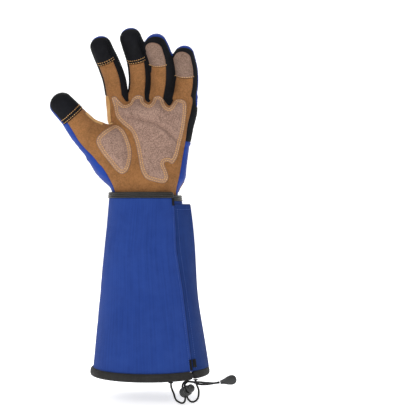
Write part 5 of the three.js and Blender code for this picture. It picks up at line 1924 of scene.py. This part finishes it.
    def _end(self) -> bpy.types.Object:
        """The flared end piece that both cords end in, with a raised rim round each face."""
        tilt = math.radians(self.end_tilt)
        along = np.array([math.cos(tilt), 0, math.sin(tilt)])
        up = np.array([-math.sin(tilt), 0, math.cos(tilt)])
        out = -AFT
        start = np.array(self.end_face) + (self.end_neck / 2 * math.sin(tilt), 0, 0)
        wide = self.end_width / 2
        middle = self.end_length - wide
        rings = []
        dome = middle + wide * np.sin(np.linspace(0.05, 1.0, 20) * math.pi / 2)
        for s in np.append(np.linspace(0, middle, 24), dome):
            half = (self.end_neck / 2 + (wide - self.end_neck / 2) * ease(s, 0, middle) if s <= middle
                    else math.sqrt(max(wide ** 2 - (s - middle) ** 2, 0.002)))
            thick = self.end_thickness / 2 * (0.74 + 0.26 * float(ease(s, 0, middle * 0.8)))
            thick *= min(1.0, math.sqrt(max(0.0, 1 - (max(s - self.end_length + 2.4, 0) / 2.4) ** 2)) + 0.02)
            ring = []
            for t in np.linspace(0, 2 * math.pi, 40, endpoint=False):
                v, w = squared(np.array([math.cos(t), math.sin(t)]))
                from_rim = min(half * (1 - abs(v)), self.end_length - s, s)
                dent = 0.55 * float(ease(from_rim, 1.1, 1.9))
                ring.append(start + along * s + up * v * half + out * w * max(thick - dent, 0.02))
            rings.append(ring)
        piece = lofted("cord_paddle", np.array(rings), self.wardrobe.get(BLACK_PLASTIC))
        return settle(piece, "black_plastic", "cord_end")


# The studio

@dataclass
class Studio:
    """The camera at the photograph's place, soft lights and a pale sweep to stand on."""

    camera_place: tuple[float, float, float] = (-0.0037, -1.102, 0.1914)
    camera_turn: float = -3.61
    lens: float = 82.2
    floor_height: float = -0.027

    def camera(self) -> None:
        """Places the camera."""
        data = bpy.data.cameras.new("camera")
        data.lens, data.sensor_width = self.lens, 36.0
        made = bpy.data.objects.new("camera", data)
        made.location = self.camera_place
        made.rotation_euler = (math.radians(90), 0.0, math.radians(self.camera_turn))
        bpy.context.scene.collection.objects.link(made)
        bpy.context.scene.camera = made

    def light(self, name: str, place: tuple[float, float, float], size: float, power: float) -> None:
        """One soft square light that points at the glove."""
        data = bpy.data.lights.new(name, "AREA")
        data.size, data.energy = size, power
        made = bpy.data.objects.new(name, data)
        made.location = place
        made.rotation_euler = (Vector((0.0, 0.0, 0.18)) - Vector(place)).to_track_quat("-Z", "Y").to_euler()
        bpy.context.scene.collection.objects.link(made)

    def dress(self) -> None:
        """Lights the scene and lays the floor."""
        self.light("key", (-0.9, -1.5, 1.3), 1.0, 15.5)
        self.light("fill", (1.3, -1.3, 0.5), 1.6, 4.0)
        self.light("top", (0.0, 0.3, 1.8), 1.6, 8.0)
        self.light("back", (0.3, 1.5, 1.0), 1.5, 10.0)
        world = bpy.data.worlds.new("studio")
        world.use_nodes = True
        world.node_tree.nodes["Background"].inputs[0].default_value = (1.0, 1.0, 1.0, 1.0)
        world.node_tree.nodes["Background"].inputs[1].default_value = 0.34
        bpy.context.scene.world = world
        bpy.context.scene.view_settings.view_transform = "Standard"
        bend = np.linspace(0.1, 1.57, 14)
        y = np.concatenate([np.linspace(-4.0, 2.0, 5), 2.0 + 1.2 * np.sin(bend), [3.2]])
        z = np.concatenate([np.zeros(5), 1.2 * (1 - np.cos(bend)), [5.0]])
        points = np.array([(x, b, self.floor_height + c) for b, c in zip(y, z) for x in (-5.0, 5.0)]) / MM
        faces = [(2 * i, 2 * i + 1, 2 * i + 3, 2 * i + 2) for i in range(len(y) - 1)]
        paper = bpy.data.materials.new("pale paper")
        paper.use_nodes = True
        shader = paper.node_tree.nodes["Principled BSDF"]
        shader.inputs["Base Color"].default_value = (0.93, 0.93, 0.93, 1.0)
        shader.inputs["Roughness"].default_value = 0.9
        shader.inputs["Emission Color"].default_value = (1.0, 1.0, 1.0, 1.0)
        shader.inputs["Emission Strength"].default_value = 0.62
        floor = Patchwork(points, faces).to_object("floor", paper)


def main() -> None:
    """Builds the studio and the glove, and reports each piece."""
    logging.basicConfig(level=logging.INFO, format="%(message)s")
    studio = Studio()
    studio.camera()
    wardrobe = Wardrobe()
    stitcher = Stitcher()
    DrawCord(wardrobe).build()
    Cuff(wardrobe, stitcher).build()
    Hand(wardrobe, stitcher).build()
    studio.dress()


if __name__ == "__main__":
    main()
